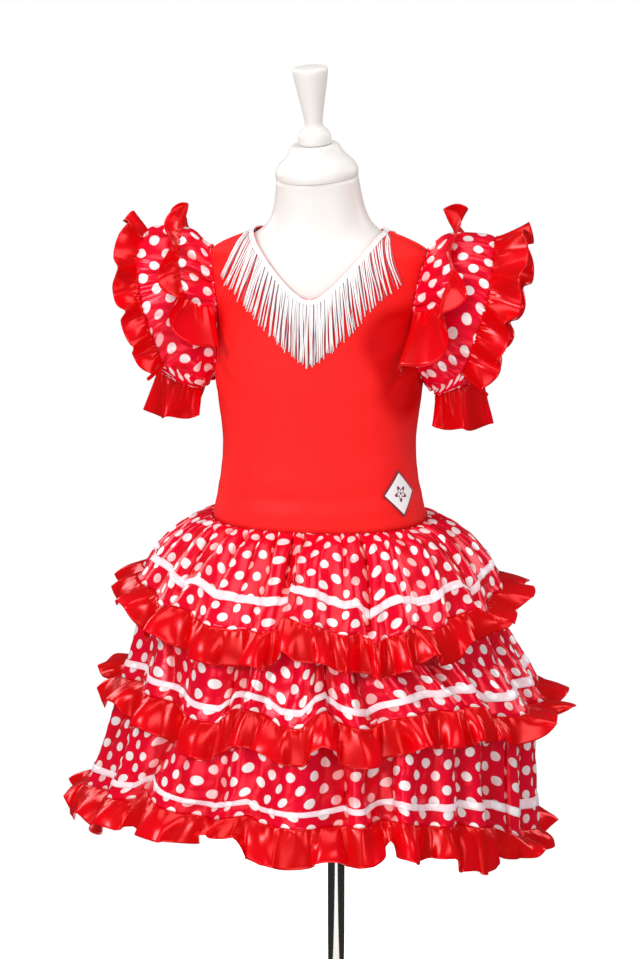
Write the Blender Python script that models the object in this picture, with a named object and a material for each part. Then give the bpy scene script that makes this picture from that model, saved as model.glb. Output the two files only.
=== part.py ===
"""Child's flamenco dress on a limbless dress form, as separate closed pieces.

Metres, +Z up, the front faces -Y. The origin is the centre of the base plate's underside.
Sizes and points are in millimetres here; new_object turns them into metres.
"""

import math

import bpy
from mathutils import Vector

# ---------------------------------------------------------------- driving sizes, in millimetres
SATIN = 1.2            # thickness of every cloth wall
SEAM_GAP = 0.3         # between pieces that are sewn to each other
BODY_CLEARANCE = 1.6   # bodice off the form
NECK_EASE = 1.6        # more than that at the neckline
TORSO_FORWARD = 12.0   # the torso stands this much in front of the pole
TORSO_ASIDE = -17.0    # and this much to the wearer's right of it
NECK_LEAN = (-0.055, -0.10)   # the neck and the finial lean sideways and forwards, per mm of height
NECK_LEAN_FROM = 945.0
BODY_POWER = 2.3       # exponent of the torso's rounded-oval sections

WAIST_SEAM = 634.0
UNDERARM = 787.0
SHOULDER_POINT = 922.0
NECK_POINT = 942.0
NECK_POINT_REACH = 66.0
V_BOTTOM = 882.0
BACK_NECK_BOTTOM = 918.0
ARMHOLE_DEPTH = 45.0

COLUMNS_PER_FOLD = 5
RUFFLE_WIDTH = 39.0
TAPE_WIDTH = 8.0


def table(columns, *rows):
    """Rows as dictionaries, keyed by the named columns."""
    names = columns.split()
    return [dict(zip(names, row)) for row in rows]


# Torso sections, from the hidden lower end to the top of the neck.
TORSO = table(
    "height half_width front back",
    (500, 120, 86, 84),
    (WAIST_SEAM, 112.0, 79, 78),
    (676, 104.0, 73.5, 72.5),
    (718, 101.0, 71, 70),
    (762, 105.5, 74, 75),
    (UNDERARM, 108.5, 77, 78),
    (795, 109.0, 77.2, 78.3),
    (815, 110.0, 77.5, 79),
    (850, 111.5, 77, 80),
    (V_BOTTOM, 112.5, 75, 77),
    (902, 113.0, 70, 72),
    (915, 112.5, 65, 67),
    (SHOULDER_POINT, 111.0, 61, 63),
    (932, 91.0, 55, 57),
    (940.5, 68.5, 51, 53),
    (955, 50.5, 46, 48),
    (985, 45.0, 42, 44),
    (1002, 43.0, 41, 42),
)
TORSO_SIDES = 28

# Round sections of the neck cap and of the finial on it.
NECK_CAP = table(
    "height radius",
    (1002.3, 43.0), (1006, 43.5), (1012, 42.5), (1020, 37.0), (1028, 28.5), (1034, 23.5), (1036, 22.0),
)
FINIAL = table(
    "height radius",
    (1036.3, 12.0), (1037, 15.5), (1042, 17.5), (1048, 16.0), (1053, 10.5), (1056, 8.8),
    (1066, 9.6), (1090, 14.0), (1108, 18.0), (1114, 18.5), (1117, 15.5),
)
POLE_RADIUS = 9.5
BASE_RADIUS = 138.0
BASE_HEIGHT = 10.0
BASE_BEVEL = 2.0
LOWER_EDGE = 6.0       # rounding of the torso's lower end

# Sleeve sections: upper and lower end of each ring, out from the middle of the body, and how far
# its front and back stand out and bulge.
SLEEVE = table(
    "top_out top_height low_out low_height half_depth bulge",
    (116.5, 922, 113.0, 789, 45, 0),
    (129, 935, 116.5, 783, 54, 6),
    (147, 943, 118.5, 780, 60, 14),
    (183, 940, 121.0, 778, 62, 27),
    (195, 915, 122.0, 777, 57, 24),
    (196, 878, 123.0, 776, 49, 17),
    (188, 842, 124.0, 775, 39, 9),
    (176, 803, 125.0, 774, 29, 0),
)
SLEEVE_AROUND = 20
ARMHOLE_LIFT = SEAM_GAP + 1.0   # middle of the sleeve's wall off the bodice's outer side

# Seam lines of the sleeve ruffles: ring number and turn from the top of the sleeve, in degrees.
UPPER_RUFFLE_SEAM = table(
    "ring turn", (1.0, 90), (1.35, 84), (1.7, 74), (2.0, 60), (2.0, 40), (2.0, 20), (2.0, 0),
)
OUTER_RUFFLE_SEAM = table(
    "ring turn", (5.0, 112), (4.5, 101), (4.0, 95), (3.3, 85), (3.0, 70), (3.0, 40), (3.0, 0),
)
SLEEVE_RUFFLE_LIFT = 2.1   # the strip's wall stands this far off the sleeve's wall
SLEEVE_STRIPS = table(
    "name width waves wave tilt_top tilt_side droop",
    ("upper", 31, 7, 11, 20, 50, 12),
    ("outer", 32, 11, 9, 25, 62, 2),
)

# Skirt levels. right (+X), left, front and back are the mean radii at that level. side_tip raises
# its right and lowers its left, front_tip and back_tip raise its front and back. power is the
# exponent of its oval, fold its share of the hem's folds, and own says how far those are the
# tier's own folds instead of those of the tier above.
TIER_1 = table(
    "height right left front back side_tip front_tip back_tip power fold own",
    (WAIST_SEAM + 0.5, 115.9, 115.9, 82.9, 81.9, 0, 0, 0, BODY_POWER, 0.02, 1),
    (627, 139, 139, 113, 110, -1, 0, 0, 2.15, 0.28, 1),
    (604, 168, 166, 154, 150, -3, -2, 0, 2, 0.60, 1),
    (572, 194, 191, 197, 190, -4, -4, 0, 2, 1.00, 1),
)
TIER_2 = table(
    "height right left front back side_tip front_tip back_tip power fold own",
    (569, 0, 0, 0, 0, 0, 0, 0, 2, 0, 0),
    (508, 199, 189, 198, 194, -3, 6, 0, 2, 0.95, 0.60),
    (446, 239, 209, 213, 214, -9, 22, -8, 2, 1.00, 1),
)
TIER_3 = table(
    "height right left front back side_tip front_tip back_tip power fold own",
    (442, 0, 0, 0, 0, 0, 0, 0, 2, 0, 0),
    (384, 229, 217, 219, 222, -10, 14, -6, 2, 0.95, 0.60),
    (316, 234, 249, 222, 232, -20, 40, -14, 2, 1.00, 1),
)
TUCKED_SHARE = 0.88    # where a tier's top is sewn inside the last band of the tier above
TUCKED_DEPTH = 2.4     # between the middles of those two walls

# Folds of each tier, from the wearer's right of the front, round the front and the back.
# width in degrees, reach and tuck of ridge and crease in mm, drop of the hem, lean to the left.
FOLDS_1 = table(
    "width reach tuck drop lean",
    (21.5, 9, 12, 0, 4), (23.5, 12, 12, 4, 0), (13.0, 12, 10, 5, 5), (14.0, 6, 13, -4, 0),
    (9.0, 6, 8, 0, 0), (9.4, 13, 10, 6, -3), (9.6, 6, 9, -3, 0), (16.0, 8, 8, 3, 0),
    (25.0, 13, 13, 4, -5), (18.0, 9, 12, 2, 0), (22.0, 12, 10, 5, 4), (16.0, 8, 12, -2, 0),
    (21.0, 12, 12, 3, -4), (19.0, 9, 10, 0, 0), (24.0, 13, 12, 5, 5), (15.0, 7, 11, -3, 0),
    (20.0, 11, 12, 2, -3), (23.0, 12, 10, 4, 0), (18.0, 9, 12, 0, 3), (23.0, 12, 11, 3, 0),
)
FOLDS_2 = table(
    "width reach tuck drop lean",
    (21.0, 8, 10, 0, 3), (23.0, 11, 11, 3, 0), (9.0, 3, 12, -4, 0), (19.0, 13, 7, 5, 4),
    (12.5, 8, 12, 4, -3), (14.5, 6, 10, 0, 0), (9.0, 4, 6, -2, 0), (9.0, 5, 6, 0, 0),
    (25.0, 14, 11, 5, -5), (18.0, 10, 12, 2, 0), (20.0, 12, 10, 3, 3), (18.0, 8, 12, -2, 0),
    (20.0, 12, 10, 4, -3), (19.0, 9, 12, 0, 0), (22.0, 13, 10, 5, 4), (17.0, 8, 12, -2, 0),
    (20.0, 11, 11, 2, -3), (22.0, 12, 11, 3, 0), (19.0, 9, 12, 0, 3), (23.0, 10, 10, 2, 0),
)
FOLDS_3 = table(
    "width reach tuck drop lean",
    (20.0, 12, 12, 2, 4), (22.5, 12, 12, 4, 0), (11.5, 5, 9, -4, 0), (21.6, 12, 9, 3, 4),
    (12.4, 8, 9, 2, 0), (13.0, 9, 24, 0, -2), (10.0, 7, 8, -3, 0), (11.0, 10, 7, 6, 0),
    (21.0, 14, 12, 6, -5), (20.0, 10, 12, 0, 0), (20.0, 12, 10, 4, 3), (18.0, 9, 12, -2, 0),
    (20.0, 12, 12, 3, -4), (19.0, 9, 12, 0, 0), (22.0, 13, 10, 5, 4), (17.0, 8, 12, -2, 0),
    (20.0, 12, 10, 3, -3), (22.0, 11, 12, 4, 0), (19.0, 9, 12, 0, 3), (20.0, 12, 10, 3, 0),
)
FOLD_START_1, FOLD_START_2, FOLD_START_3 = -61.0, -61.0, -64.0
SIDE_SEAM_FRONT = 48   # column of the side seam at the wearer's left
SIDE_SEAM_BACK = 93    # column of the side seam at the wearer's right
SIDE_SEAM_HALF = 0.02  # half the seam's gap, in columns

# Hem ruffles: how far the strip's free edge stands out on each side, and the size of its waves.
HEM_RUFFLES = table(
    "right left front back wave",
    (24, 24, 16, 18, 13),
    (20, 27, 16, 20, 13),
    (15, 22, 11, 17, 12),
)
CREASE_FILL = 0.5      # how much of a crease's depth the free edge makes up for
LEAST_FLARE = 8.0      # the free edge is at least this far outside its seam
COMMON_FOLD = 18.0     # a fold of this width, in degrees, has waves of full size below it
WAVES_ROUND = 25
WAVE_SIZES = (1.0, 0.75, 1.1, 0.85, 1.0, 0.65, 1.15, 0.9)

# White tape on the last band of each tier, as a share of that band.
TAPE_PLACES = (0.27, 0.66, 0.60)

FRONT_STRANDS = 62
BACK_STRANDS = 22
LONGEST_STEP = 12.0     # between two of the header's points
FRINGE_LENGTH = 66.5
FRINGE_END_LENGTH = 49.0     # at the neck points
FRINGE_BACK_LENGTH = 60.0
FRINGE_SLANT = 24.0     # the outermost strands slant this much, in degrees
FRINGE_BACK_SLANT = 12.0
STRAND_PARTS = (0.12, 0.5, 1.0)      # rings of a strand, as shares of its length
STRAND_WIDTHS = (2.3, 2.1, 1.9)
STRAND_THICKNESS = 1.0
STRAND_LIFT = 0.9
HEADER_WIDTH = 4.0
HEADER_LIFT = 0.8
HEADER_INSET = 1.5      # the header's upper edge lies this far below the neckline

PATCH_HEIGHT = 672.0
PATCH_TURN = 57.0
PATCH_HALF_WIDTH = 20.5
PATCH_HALF_HEIGHT = 25.0
PATCH_CELLS = 5

BODICE_SIDES = (WAIST_SEAM, 676, 718, 762, UNDERARM, 795, 815, 850, V_BOTTOM, 902, 915)
FRONT_HEIGHTS = BODICE_SIDES + (SHOULDER_POINT, 932, 937, 940.5)
BACK_HEIGHTS = BODICE_SIDES + (BACK_NECK_BOTTOM, SHOULDER_POINT, 927, 932, 937, 940.5)
BODICE_COLUMNS = TORSO_SIDES // 4


# ---------------------------------------------------------------- materials
def satin(name, color, roughness, metallic=0.0):
    made = bpy.data.materials.new(name)
    made.use_nodes = True
    shader = made.node_tree.nodes["Principled BSDF"]
    shader.inputs["Base Color"].default_value = (*color, 1.0)
    shader.inputs["Roughness"].default_value = roughness
    shader.inputs["Metallic"].default_value = metallic
    return made


ORANGE_RED = ((0.90, 0.035, 0.030), 0.60)
POLKA_RED = ((0.78, 0.010, 0.030), 0.35)
SCARLET = ((0.74, 0.003, 0.006), 0.30)
WHITE_TAPE = ((0.90, 0.86, 0.88), 0.55)
FRINGE_WHITE = ((0.84, 0.82, 0.82), 0.60)
GLOSS_WHITE = ((0.92, 0.90, 0.86), 0.20)
CHROME = ((0.80, 0.80, 0.82), 0.08, 1.0)
STEEL = ((0.55, 0.55, 0.57), 0.30, 1.0)


# ---------------------------------------------------------------- numbers
def between(low, high, share):
    return low + (high - low) * share


def read(rows, key, place, column):
    """A column's value at a place between the rows, on a smooth curve through them."""
    last = len(rows) - 1
    i = 0
    while i < last - 1 and rows[i + 1][key] <= place:
        i += 1
    x0, x1 = rows[i][key], rows[i + 1][key]
    y0, y1 = rows[i][column], rows[i + 1][column]
    share = min(max((place - x0) / (x1 - x0), 0.0), 1.0)
    before, after = rows[max(i - 1, 0)], rows[min(i + 2, last)]
    slope_0 = (y1 - before[column]) / (x1 - before[key]) * (x1 - x0)
    slope_1 = (after[column] - y0) / (after[key] - x0) * (x1 - x0)
    s2, s3 = share * share, share ** 3
    return ((2 * s3 - 3 * s2 + 1) * y0 + (s3 - 2 * s2 + share) * slope_0
            + (3 * s2 - 2 * s3) * y1 + (s3 - s2) * slope_1)


def wave_out(place):
    """A ruffle's wave at a place counted in waves. Its size changes where it crosses zero."""
    size = WAVE_SIZES[math.floor(place - 0.125) % len(WAVE_SIZES)]
    return size * math.cos(math.tau * place + math.pi / 4)


def signed_power(value, power):
    return math.copysign(abs(value) ** power, value)


# ---------------------------------------------------------------- closed meshes
def new_object(name, points, faces, look, smooth_angle=40):
    """A mesh object from points in millimetres."""
    mesh = bpy.data.meshes.new(name)
    mesh.from_pydata([point * 0.001 for point in points], [], faces)
    mesh.validate()
    made = bpy.data.objects.new(name, mesh)
    bpy.context.scene.collection.objects.link(made)
    mesh.materials.append(satin(name, *look))
    mesh.shade_smooth()
    mesh.set_sharp_from_angle(angle=math.radians(smooth_angle))
    return made


def grid_normals(grid, closed):
    """Unit normals of a grid of points, with the stretch that keeps a folded wall's thickness."""
    rows, columns = len(grid), len(grid[0])
    normals = []
    for i in range(rows):
        line = []
        for j in range(columns):
            sides = []
            for k, step in ((j - 1, -1), (j + 1, 1)):
                if closed:
                    k %= columns
                elif not 0 <= k < columns:
                    continue
                along = (grid[i][k] - grid[i][j]) * step
                up = grid[min(i + 1, rows - 1)][j] - grid[max(i - 1, 0)][j]
                sides.append(along.cross(up).normalized())
            mean = sum(sides, Vector()).normalized()
            line.append(mean / max(mean.dot(sides[0]), 0.72))
        normals.append(line)
    return normals


def wall(name, grid, look, closed=False, extra=0, thickness=SATIN):
    """A closed wall round the middle surface that the grid describes, its outer side where the
    direction along the rows crosses that from row to row. extra columns at each end only steer
    the normals, so that two walls stay apart at the seam between them."""
    normals = grid_normals(grid, closed)
    if extra:
        grid = [row[extra:-extra] for row in grid]
        normals = [row[extra:-extra] for row in normals]
    rows, columns = len(grid), len(grid[0])
    half = thickness / 2
    points = []
    for side in (half, -half):
        points += [grid[i][j] + normals[i][j] * side for i in range(rows) for j in range(columns)]

    def outer(i, j):
        return i * columns + j % columns

    def inner(i, j):
        return rows * columns + outer(i, j)

    spans = columns if closed else columns - 1
    faces = []
    for i in range(rows - 1):
        for j in range(spans):
            k = (j + 1) % columns
            rising = (grid[i][j] + grid[i + 1][k]) / 2
            falling = (grid[i][k] + grid[i + 1][j]) / 2
            normal = normals[i][j] + normals[i + 1][k]
            a, b, c, d = (i, j), (i, j + 1), (i + 1, j + 1), (i + 1, j)
            if rising.dot(normal) > falling.dot(normal):  # the diagonal that lies further in
                a, b, c, d = b, c, d, a
            for one, two, three in ((a, b, c), (a, c, d)):
                faces.append((outer(*one), outer(*two), outer(*three)))
                faces.append((inner(*three), inner(*two), inner(*one)))
    top = rows - 1
    for j in range(spans):
        faces.append((outer(0, j), inner(0, j), inner(0, j + 1), outer(0, j + 1)))
        faces.append((outer(top, j), outer(top, j + 1), inner(top, j + 1), inner(top, j)))
    if not closed:
        end = columns - 1
        for i in range(rows - 1):
            faces.append((outer(i, 0), outer(i + 1, 0), inner(i + 1, 0), inner(i, 0)))
            faces.append((outer(i, end), inner(i, end), inner(i + 1, end), outer(i + 1, end)))
    return new_object(name, points, faces, look)


def solid_rings(name, rings, look, smooth_angle=40):
    """A closed solid through rings of points, bottom to top, with flat ends."""
    count = len(rings[0])
    points = [point for ring in rings for point in ring]
    faces = [tuple(reversed(range(count)))]
    for i in range(len(rings) - 1):
        for j in range(count):
            a, b = i * count + j, i * count + (j + 1) % count
            faces.append((a, b, b + count, a + count))
    first = (len(rings) - 1) * count
    faces.append(tuple(range(first, first + count)))
    return new_object(name, points, faces, look, smooth_angle)


def circle(radius, height, sides):
    turns = [math.tau * k / sides for k in range(sides)]
    return [Vector((radius * math.sin(t), -radius * math.cos(t), height)) for t in turns]


def torso_axis(height):
    """Where the torso's middle line stands, which leans above the shoulders."""
    above = max(height - NECK_LEAN_FROM, 0.0)
    lean = above * above / (above + 30.0)
    return Vector((TORSO_ASIDE + NECK_LEAN[0] * lean, -TORSO_FORWARD + NECK_LEAN[1] * lean, 0.0))


def leaning_rings(rows, sides):
    """Rings of the neck's pieces, round its leaning middle line and square to it."""
    rings = []
    for row in rows:
        axis = torso_axis(row["height"])
        ring = circle(row["radius"], row["height"], sides)
        rings.append([Vector((p.x, p.y, p.z - p.x * NECK_LEAN[0] - p.y * NECK_LEAN[1])) + axis for p in ring])
    return rings


# ---------------------------------------------------------------- the torso's surface
def body_size(height):
    return [read(TORSO, "height", height, column) for column in ("half_width", "front", "back")]


def body_point(turn, height):
    """A point of the torso: turn in degrees from the front towards +X, height in mm."""
    half_width, front, back = body_size(height)
    angle = math.radians(turn)
    sine, cosine = math.sin(angle), math.cos(angle)
    depth = front if cosine > 0 else back
    point = torso_axis(height)
    point.x += half_width * signed_power(sine, 2 / BODY_POWER)
    point.y -= depth * signed_power(cosine, 2 / BODY_POWER)
    tilt = min(max(height - NECK_LEAN_FROM, 0.0) / 40.0, 1.0)
    middle = torso_axis(height)
    point.z = height - tilt * ((point.x - middle.x) * NECK_LEAN[0] + (point.y - middle.y) * NECK_LEAN[1])
    return point


def body_normal(turn, height):
    across = body_point(turn + 0.5, height) - body_point(turn - 0.5, height)
    up = body_point(turn, height + 0.5) - body_point(turn, height - 0.5)
    return across.cross(up).normalized()


def over_body(turn, height, out):
    return body_point(turn, height) + body_normal(turn, height) * out


def turn_at_reach(height, reach):
    """The turn, from 0 to 90 degrees, at which the torso is this far from its middle plane."""
    share = min(max(reach / body_size(height)[0], 0.0), 1.0)
    return math.degrees(math.asin(share ** (BODY_POWER / 2)))


def turn_at_depth(height, depth, is_front):
    share = min(max(depth / body_size(height)[1 if is_front else 2], 0.0), 1.0)
    return math.degrees(math.acos(share ** (BODY_POWER / 2)))


def bodice_lift(height):
    """How far the bodice's outer side is off the torso: it eases out towards the neckline."""
    ease = min(max((height - V_BOTTOM) / (NECK_POINT - V_BOTTOM), 0.0), 1.0)
    return BODY_CLEARANCE + SATIN + NECK_EASE * ease


def over_bodice(turn, height, lift):
    """A point off the bodice's outer side, on the straight line between its rows."""
    rows = FRONT_HEIGHTS
    i = max(k for k in range(len(rows) - 1) if k == 0 or rows[k] <= height)
    low, high = (over_body(turn, h, bodice_lift(h) + lift) for h in (rows[i], rows[i + 1]))
    return low.lerp(high, (height - rows[i]) / (rows[i + 1] - rows[i]))


def armhole_depth(height):
    middle = (SHOULDER_POINT + UNDERARM) / 2
    rise = (height - middle) / (SHOULDER_POINT - UNDERARM) * 2
    return ARMHOLE_DEPTH * math.sqrt(max(1 - rise * rise, 0.0))


def neckline_reach(height, is_front):
    """Half the width of the neck opening at a height, 0 below it."""
    bottom = V_BOTTOM if is_front else BACK_NECK_BOTTOM
    share = max((height - bottom) / (NECK_POINT - bottom), 0.0)
    return NECK_POINT_REACH * (share if is_front else math.sqrt(share))


# ---------------------------------------------------------------- dress form
def make_form():
    turns = [360 * k / TORSO_SIDES for k in range(TORSO_SIDES)]
    heights = [row["height"] for row in TORSO]
    rings = [[body_point(turn, height) for turn in turns] for height in heights]
    axis = torso_axis(0)
    inset = [axis + (p - axis) * 0.93 for p in rings[0]]
    for point in inset:
        point.z = heights[0] - LOWER_EDGE
    solid_rings("form_torso", [inset] + rings, GLOSS_WHITE)
    solid_rings("neck_cap", leaning_rings(NECK_CAP, 20), GLOSS_WHITE)
    solid_rings("finial", leaning_rings(FINIAL, 14), GLOSS_WHITE)
    pole_top = TORSO[0]["height"] - LOWER_EDGE - SEAM_GAP
    ends = (BASE_HEIGHT + SEAM_GAP, pole_top)
    solid_rings("pole", [circle(POLE_RADIUS, height, 20) for height in ends], CHROME)
    edge = ((BASE_RADIUS, 0), (BASE_RADIUS, BASE_HEIGHT - BASE_BEVEL), (BASE_RADIUS - BASE_BEVEL, BASE_HEIGHT))
    solid_rings("base_plate", [circle(radius, height, 36) for radius, height in edge], STEEL, 20)


# ---------------------------------------------------------------- bodice
def row_turns(low, high, columns):
    """Turns of a row's points from low to high. Those that can are at the torso's own columns."""
    own = [90 * j / columns for j in range(columns + 1)]
    first = min((j for j in range(1, columns) if own[j] > low + 1), default=columns)
    last = max((j for j in range(1, columns) if own[j] < high - 1), default=0)
    if first > last:
        return [between(low, high, j / columns) for j in range(columns + 1)]
    turns = [between(low, own[first], j / first) for j in range(first)]
    turns += own[first:last + 1]
    ending = columns - last
    return turns + [between(own[last], high, (j + 1) / ending) for j in range(ending)]


def bodice_panel(name, is_front):
    """Half of the bodice, from side seam to side seam. Above the neckline's lowest point each
    row is two separate spans, so the two sides are joined below it only."""
    seam = math.degrees(SEAM_GAP / 2 / 80)
    columns = BODICE_COLUMNS
    sign = 1 if is_front else -1
    points, normals, index = [], [], {}
    heights = FRONT_HEIGHTS if is_front else BACK_HEIGHTS
    neck_row = max(i for i, h in enumerate(heights) if neckline_reach(h, is_front) <= 0)
    for i, height in enumerate(heights):
        low = turn_at_reach(height, neckline_reach(height, is_front))
        high = 90 - seam
        if UNDERARM < height < SHOULDER_POINT:
            high = turn_at_depth(height, armhole_depth(height), is_front)
        turns = row_turns(low, high, columns)
        for side in (-1, 1):
            for j in range(columns + 1):
                if j == 0 and side == 1 and i <= neck_row:
                    index[i, 1, 0] = index[i, -1, 0]
                    continue
                turn = side * turns[j]
                turn = turn if is_front else 180 - turn
                index[i, side, j] = len(points)
                points.append(over_body(turn, height, bodice_lift(height) - SATIN / 2))
                normals.append(body_normal(turn, height))
    quads = []
    for i in range(len(heights) - 1):
        for side in (-1, 1):
            for j in range(columns):
                ring = [index[i, side, j], index[i, side, j + 1], index[i + 1, side, j + 1], index[i + 1, side, j]]
                quads.append(tuple(ring if side * sign == 1 else reversed(ring)))
    sheet_wall(name, points, normals, quads, ORANGE_RED)


def sheet_wall(name, points, normals, quads, look, thickness=SATIN):
    """A closed wall round any sheet of faces that point outwards."""
    half, count = thickness / 2, len(points)
    moved = [p + n * half for p, n in zip(points, normals)] + [p - n * half for p, n in zip(points, normals)]
    faces = list(quads) + [tuple(k + count for k in reversed(quad)) for quad in quads]
    edges = {(quad[k], quad[(k + 1) % len(quad)]) for quad in quads for k in range(len(quad))}
    for a, b in sorted(edges):
        if (b, a) not in edges:
            faces.append((b, a, a + count, b + count))
    return new_object(name, moved, faces, look)


def make_patch():
    """A rhombus that follows the bodice, at the wearer's left of the waist."""
    middle = body_point(PATCH_TURN, PATCH_HEIGHT)
    per_degree = (body_point(PATCH_TURN + 1, PATCH_HEIGHT) - middle).length
    points, normals, quads = [], [], []
    side = PATCH_CELLS + 1
    for i in range(side):
        for j in range(side):
            a, b = i / PATCH_CELLS, j / PATCH_CELLS
            turn = PATCH_TURN + (a - b) * PATCH_HALF_WIDTH / per_degree
            height = PATCH_HEIGHT + (a + b - 1) * PATCH_HALF_HEIGHT
            points.append(over_bodice(turn, height, 2 * SEAM_GAP + SATIN / 2))
            normals.append(body_normal(turn, height))
    for i in range(PATCH_CELLS):
        for j in range(PATCH_CELLS):
            a = i * side + j
            quads.append((a, a + side, a + side + 1, a + 1))
    sheet_wall("waist_patch", points, normals, quads, WHITE_TAPE)


# ---------------------------------------------------------------- neck fringe
def neckline(share):
    """Point of the neckline as turn and height: 0 and 1 at the wearer's left neck point, the
    front's lowest point at 0.25 and the back's at 0.75."""
    is_front = share < 0.5
    across = 1 - 4 * share if is_front else 4 * share - 3
    bottom = V_BOTTOM if is_front else BACK_NECK_BOTTOM
    rise = abs(across) if is_front else across * across
    height = bottom + (NECK_POINT - bottom) * rise - HEADER_INSET
    reach = abs(across) * body_size(NECK_POINT - HEADER_INSET)[0]
    turn = math.copysign(turn_at_reach(height, reach), across)
    return (turn if is_front else 180 - turn), height


def fringe_steps():
    """Shares round the neckline, and whether a strand stands between that one and the next. The
    long steps over the shoulders are divided and carry none."""
    front = [0.5 * k / FRONT_STRANDS for k in range(FRONT_STRANDS)]
    back = [0.5 + 0.5 * k / BACK_STRANDS for k in range(BACK_STRANDS)]
    shares = front + back + [1.0]
    steps = []
    for low, high in zip(shares, shares[1:]):
        length = (over_bodice(*neckline(high), 0) - over_bodice(*neckline(low), 0)).length
        parts = math.ceil(length / LONGEST_STEP)
        steps += [(between(low, high, part / parts), parts == 1) for part in range(parts)]
    return steps


def neck_aside(share):
    """1 at the wearer's left neck point, 0 at the middle of the front and back, -1 at the right."""
    return (0.25 - share) / 0.25 if share < 0.5 else (share - 0.75) / 0.25


def hang(start, aside, length):
    """Turn and height of a point of the bodice that is so far below a start and slants away from
    the middle. start is measured from the torso's middle line."""
    is_front = start.y < 0
    slant = math.radians((FRINGE_SLANT if is_front else FRINGE_BACK_SLANT) * abs(aside))
    height = start.z - length * math.cos(slant)
    across = start.x + math.copysign(length * math.sin(slant), aside)
    turn = math.copysign(turn_at_reach(height, abs(across)), across)
    return (turn if is_front else 180 - turn), height


def strand_places(root, aside, length):
    """Centres and normals of a strand's rings, raised until the straight lines between them are
    clear of the bodice."""
    lifts = [HEADER_LIFT] + [STRAND_LIFT] * len(STRAND_PARTS)
    parts = (0.0,) + STRAND_PARTS
    for _ in range(3):
        places = [hang(root, aside, length * part) for part in parts]
        centres = [over_bodice(turn, height, lift) for (turn, height), lift in zip(places, lifts)]
        for i in range(len(parts) - 1):
            for share in (0.25, 0.5, 0.75):
                turn, height = hang(root, aside, length * between(parts[i], parts[i + 1], share))
                normal = body_normal(turn, height)
                low = over_bodice(turn, height, STRAND_LIFT) - centres[i].lerp(centres[i + 1], share)
                need = max(low.dot(normal), 0.0)
                lifts[i + 1] += need
    return [(centre, body_normal(*place)) for centre, place in zip(centres[1:], places[1:])]


def make_fringe():
    """Header tape round the neckline, with the strands growing from its lower edge, in one body.
    The strands touch at their roots only, and there are none on top of the shoulders."""
    steps = fringe_steps()
    shares = [share for share, _ in steps]
    count = len(shares)
    axis = torso_axis(0)
    edges = [over_bodice(*neckline(share), HEADER_LIFT) for share in shares]
    points, faces = [], []
    for k, share in enumerate(shares):
        normal = body_normal(*neckline(share))
        along = edges[(k + 1) % count] - edges[k - 1]
        low = edges[k] + normal.cross(along).normalized() * HEADER_WIDTH
        points += [edges[k], edges[k] + normal * STRAND_THICKNESS, low, low + normal * STRAND_THICKNESS]
    for k in range(count):
        a, b = 4 * k, 4 * ((k + 1) % count)
        faces += [(b, b + 1, a + 1, a), (b + 1, b + 3, a + 3, a + 1), (b + 2, b, a, a + 2)]
        middle = (shares[k] + (shares[k + 1] if k + 1 < count else 1.0)) / 2
        aside = neck_aside(middle)
        root = (points[a + 2] + points[b + 2]) / 2 - axis
        across = points[a + 2] - points[b + 2]
        length = between(FRINGE_LENGTH, FRINGE_END_LENGTH, abs(aside)) if middle < 0.5 else FRINGE_BACK_LENGTH
        length -= 3 * (k % 3 == 1) + 2 * (k % 5 == 2)
        if not steps[k][1]:
            faces.append((a + 2, a + 3, b + 3, b + 2))
            continue
        ring = (a + 2, a + 3, b + 3, b + 2)
        for (centre, normal), width in zip(strand_places(root, aside, length), STRAND_WIDTHS):
            half = (across - normal * across.dot(normal)).normalized() * width / 2
            first = len(points)
            points += [centre + half, centre + normal * STRAND_THICKNESS, centre - half]
            fresh = (first, first + 1, first + 2)
            if len(ring) == 4:
                faces.append((ring[1], ring[2], fresh[1]))
                faces.append((ring[0], ring[1], fresh[1], fresh[0]))
                faces.append((ring[2], ring[3], fresh[2], fresh[1]))
                faces.append((ring[3], ring[0], fresh[0], fresh[2]))
            else:
                for s in range(3):
                    t = (s + 1) % 3
                    faces.append((ring[s], ring[t], fresh[t], fresh[s]))
            ring = fresh
        faces.append(ring)
    new_object("neck_fringe", points, faces, FRINGE_WHITE, 30)


# ---------------------------------------------------------------- sleeves
def sleeve_value(ring, column):
    rows = [{"ring": k, **row} for k, row in enumerate(SLEEVE)]
    return read(rows, "ring", ring, column)


def sleeve_point(ring, turn, out=0.0):
    """A point of the wearer's left sleeve: turn 0 at its top, 90 at its front, in degrees."""
    angle = math.radians(turn)
    top = Vector((sleeve_value(ring, "top_out"), 0.0, sleeve_value(ring, "top_height")))
    low = Vector((sleeve_value(ring, "low_out"), 0.0, sleeve_value(ring, "low_height")))
    half = (top - low) / 2
    point = (top + low) / 2 + half * math.cos(angle)
    point.y = -sleeve_value(ring, "half_depth") * math.sin(angle)
    outward = Vector((half.z, 0.0, -half.x)).normalized()
    point += outward * sleeve_value(ring, "bulge") * math.sin(angle) ** 2
    side = Vector((0.0, -math.sin(angle), 0.0)) + half.normalized() * math.cos(angle)
    point += side.normalized() * out
    if ring < 1:
        point = armhole_point(turn).lerp(point, max(ring, 0.0))
    return point


def armhole_point(turn):
    """Where the sleeve meets the bodice, just outside its wall, about the torso's own middle."""
    angle = math.radians(turn)
    middle = (SHOULDER_POINT + UNDERARM) / 2
    height = middle + (SHOULDER_POINT - UNDERARM) / 2 * math.cos(angle)
    is_front = math.sin(angle) > 0
    body_turn = turn_at_depth(height, ARMHOLE_DEPTH * abs(math.sin(angle)), is_front)
    point = over_body(body_turn if is_front else 180 - body_turn, height, bodice_lift(height) + ARMHOLE_LIFT)
    return point - Vector((TORSO_ASIDE, -TORSO_FORWARD, 0.0))


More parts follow.
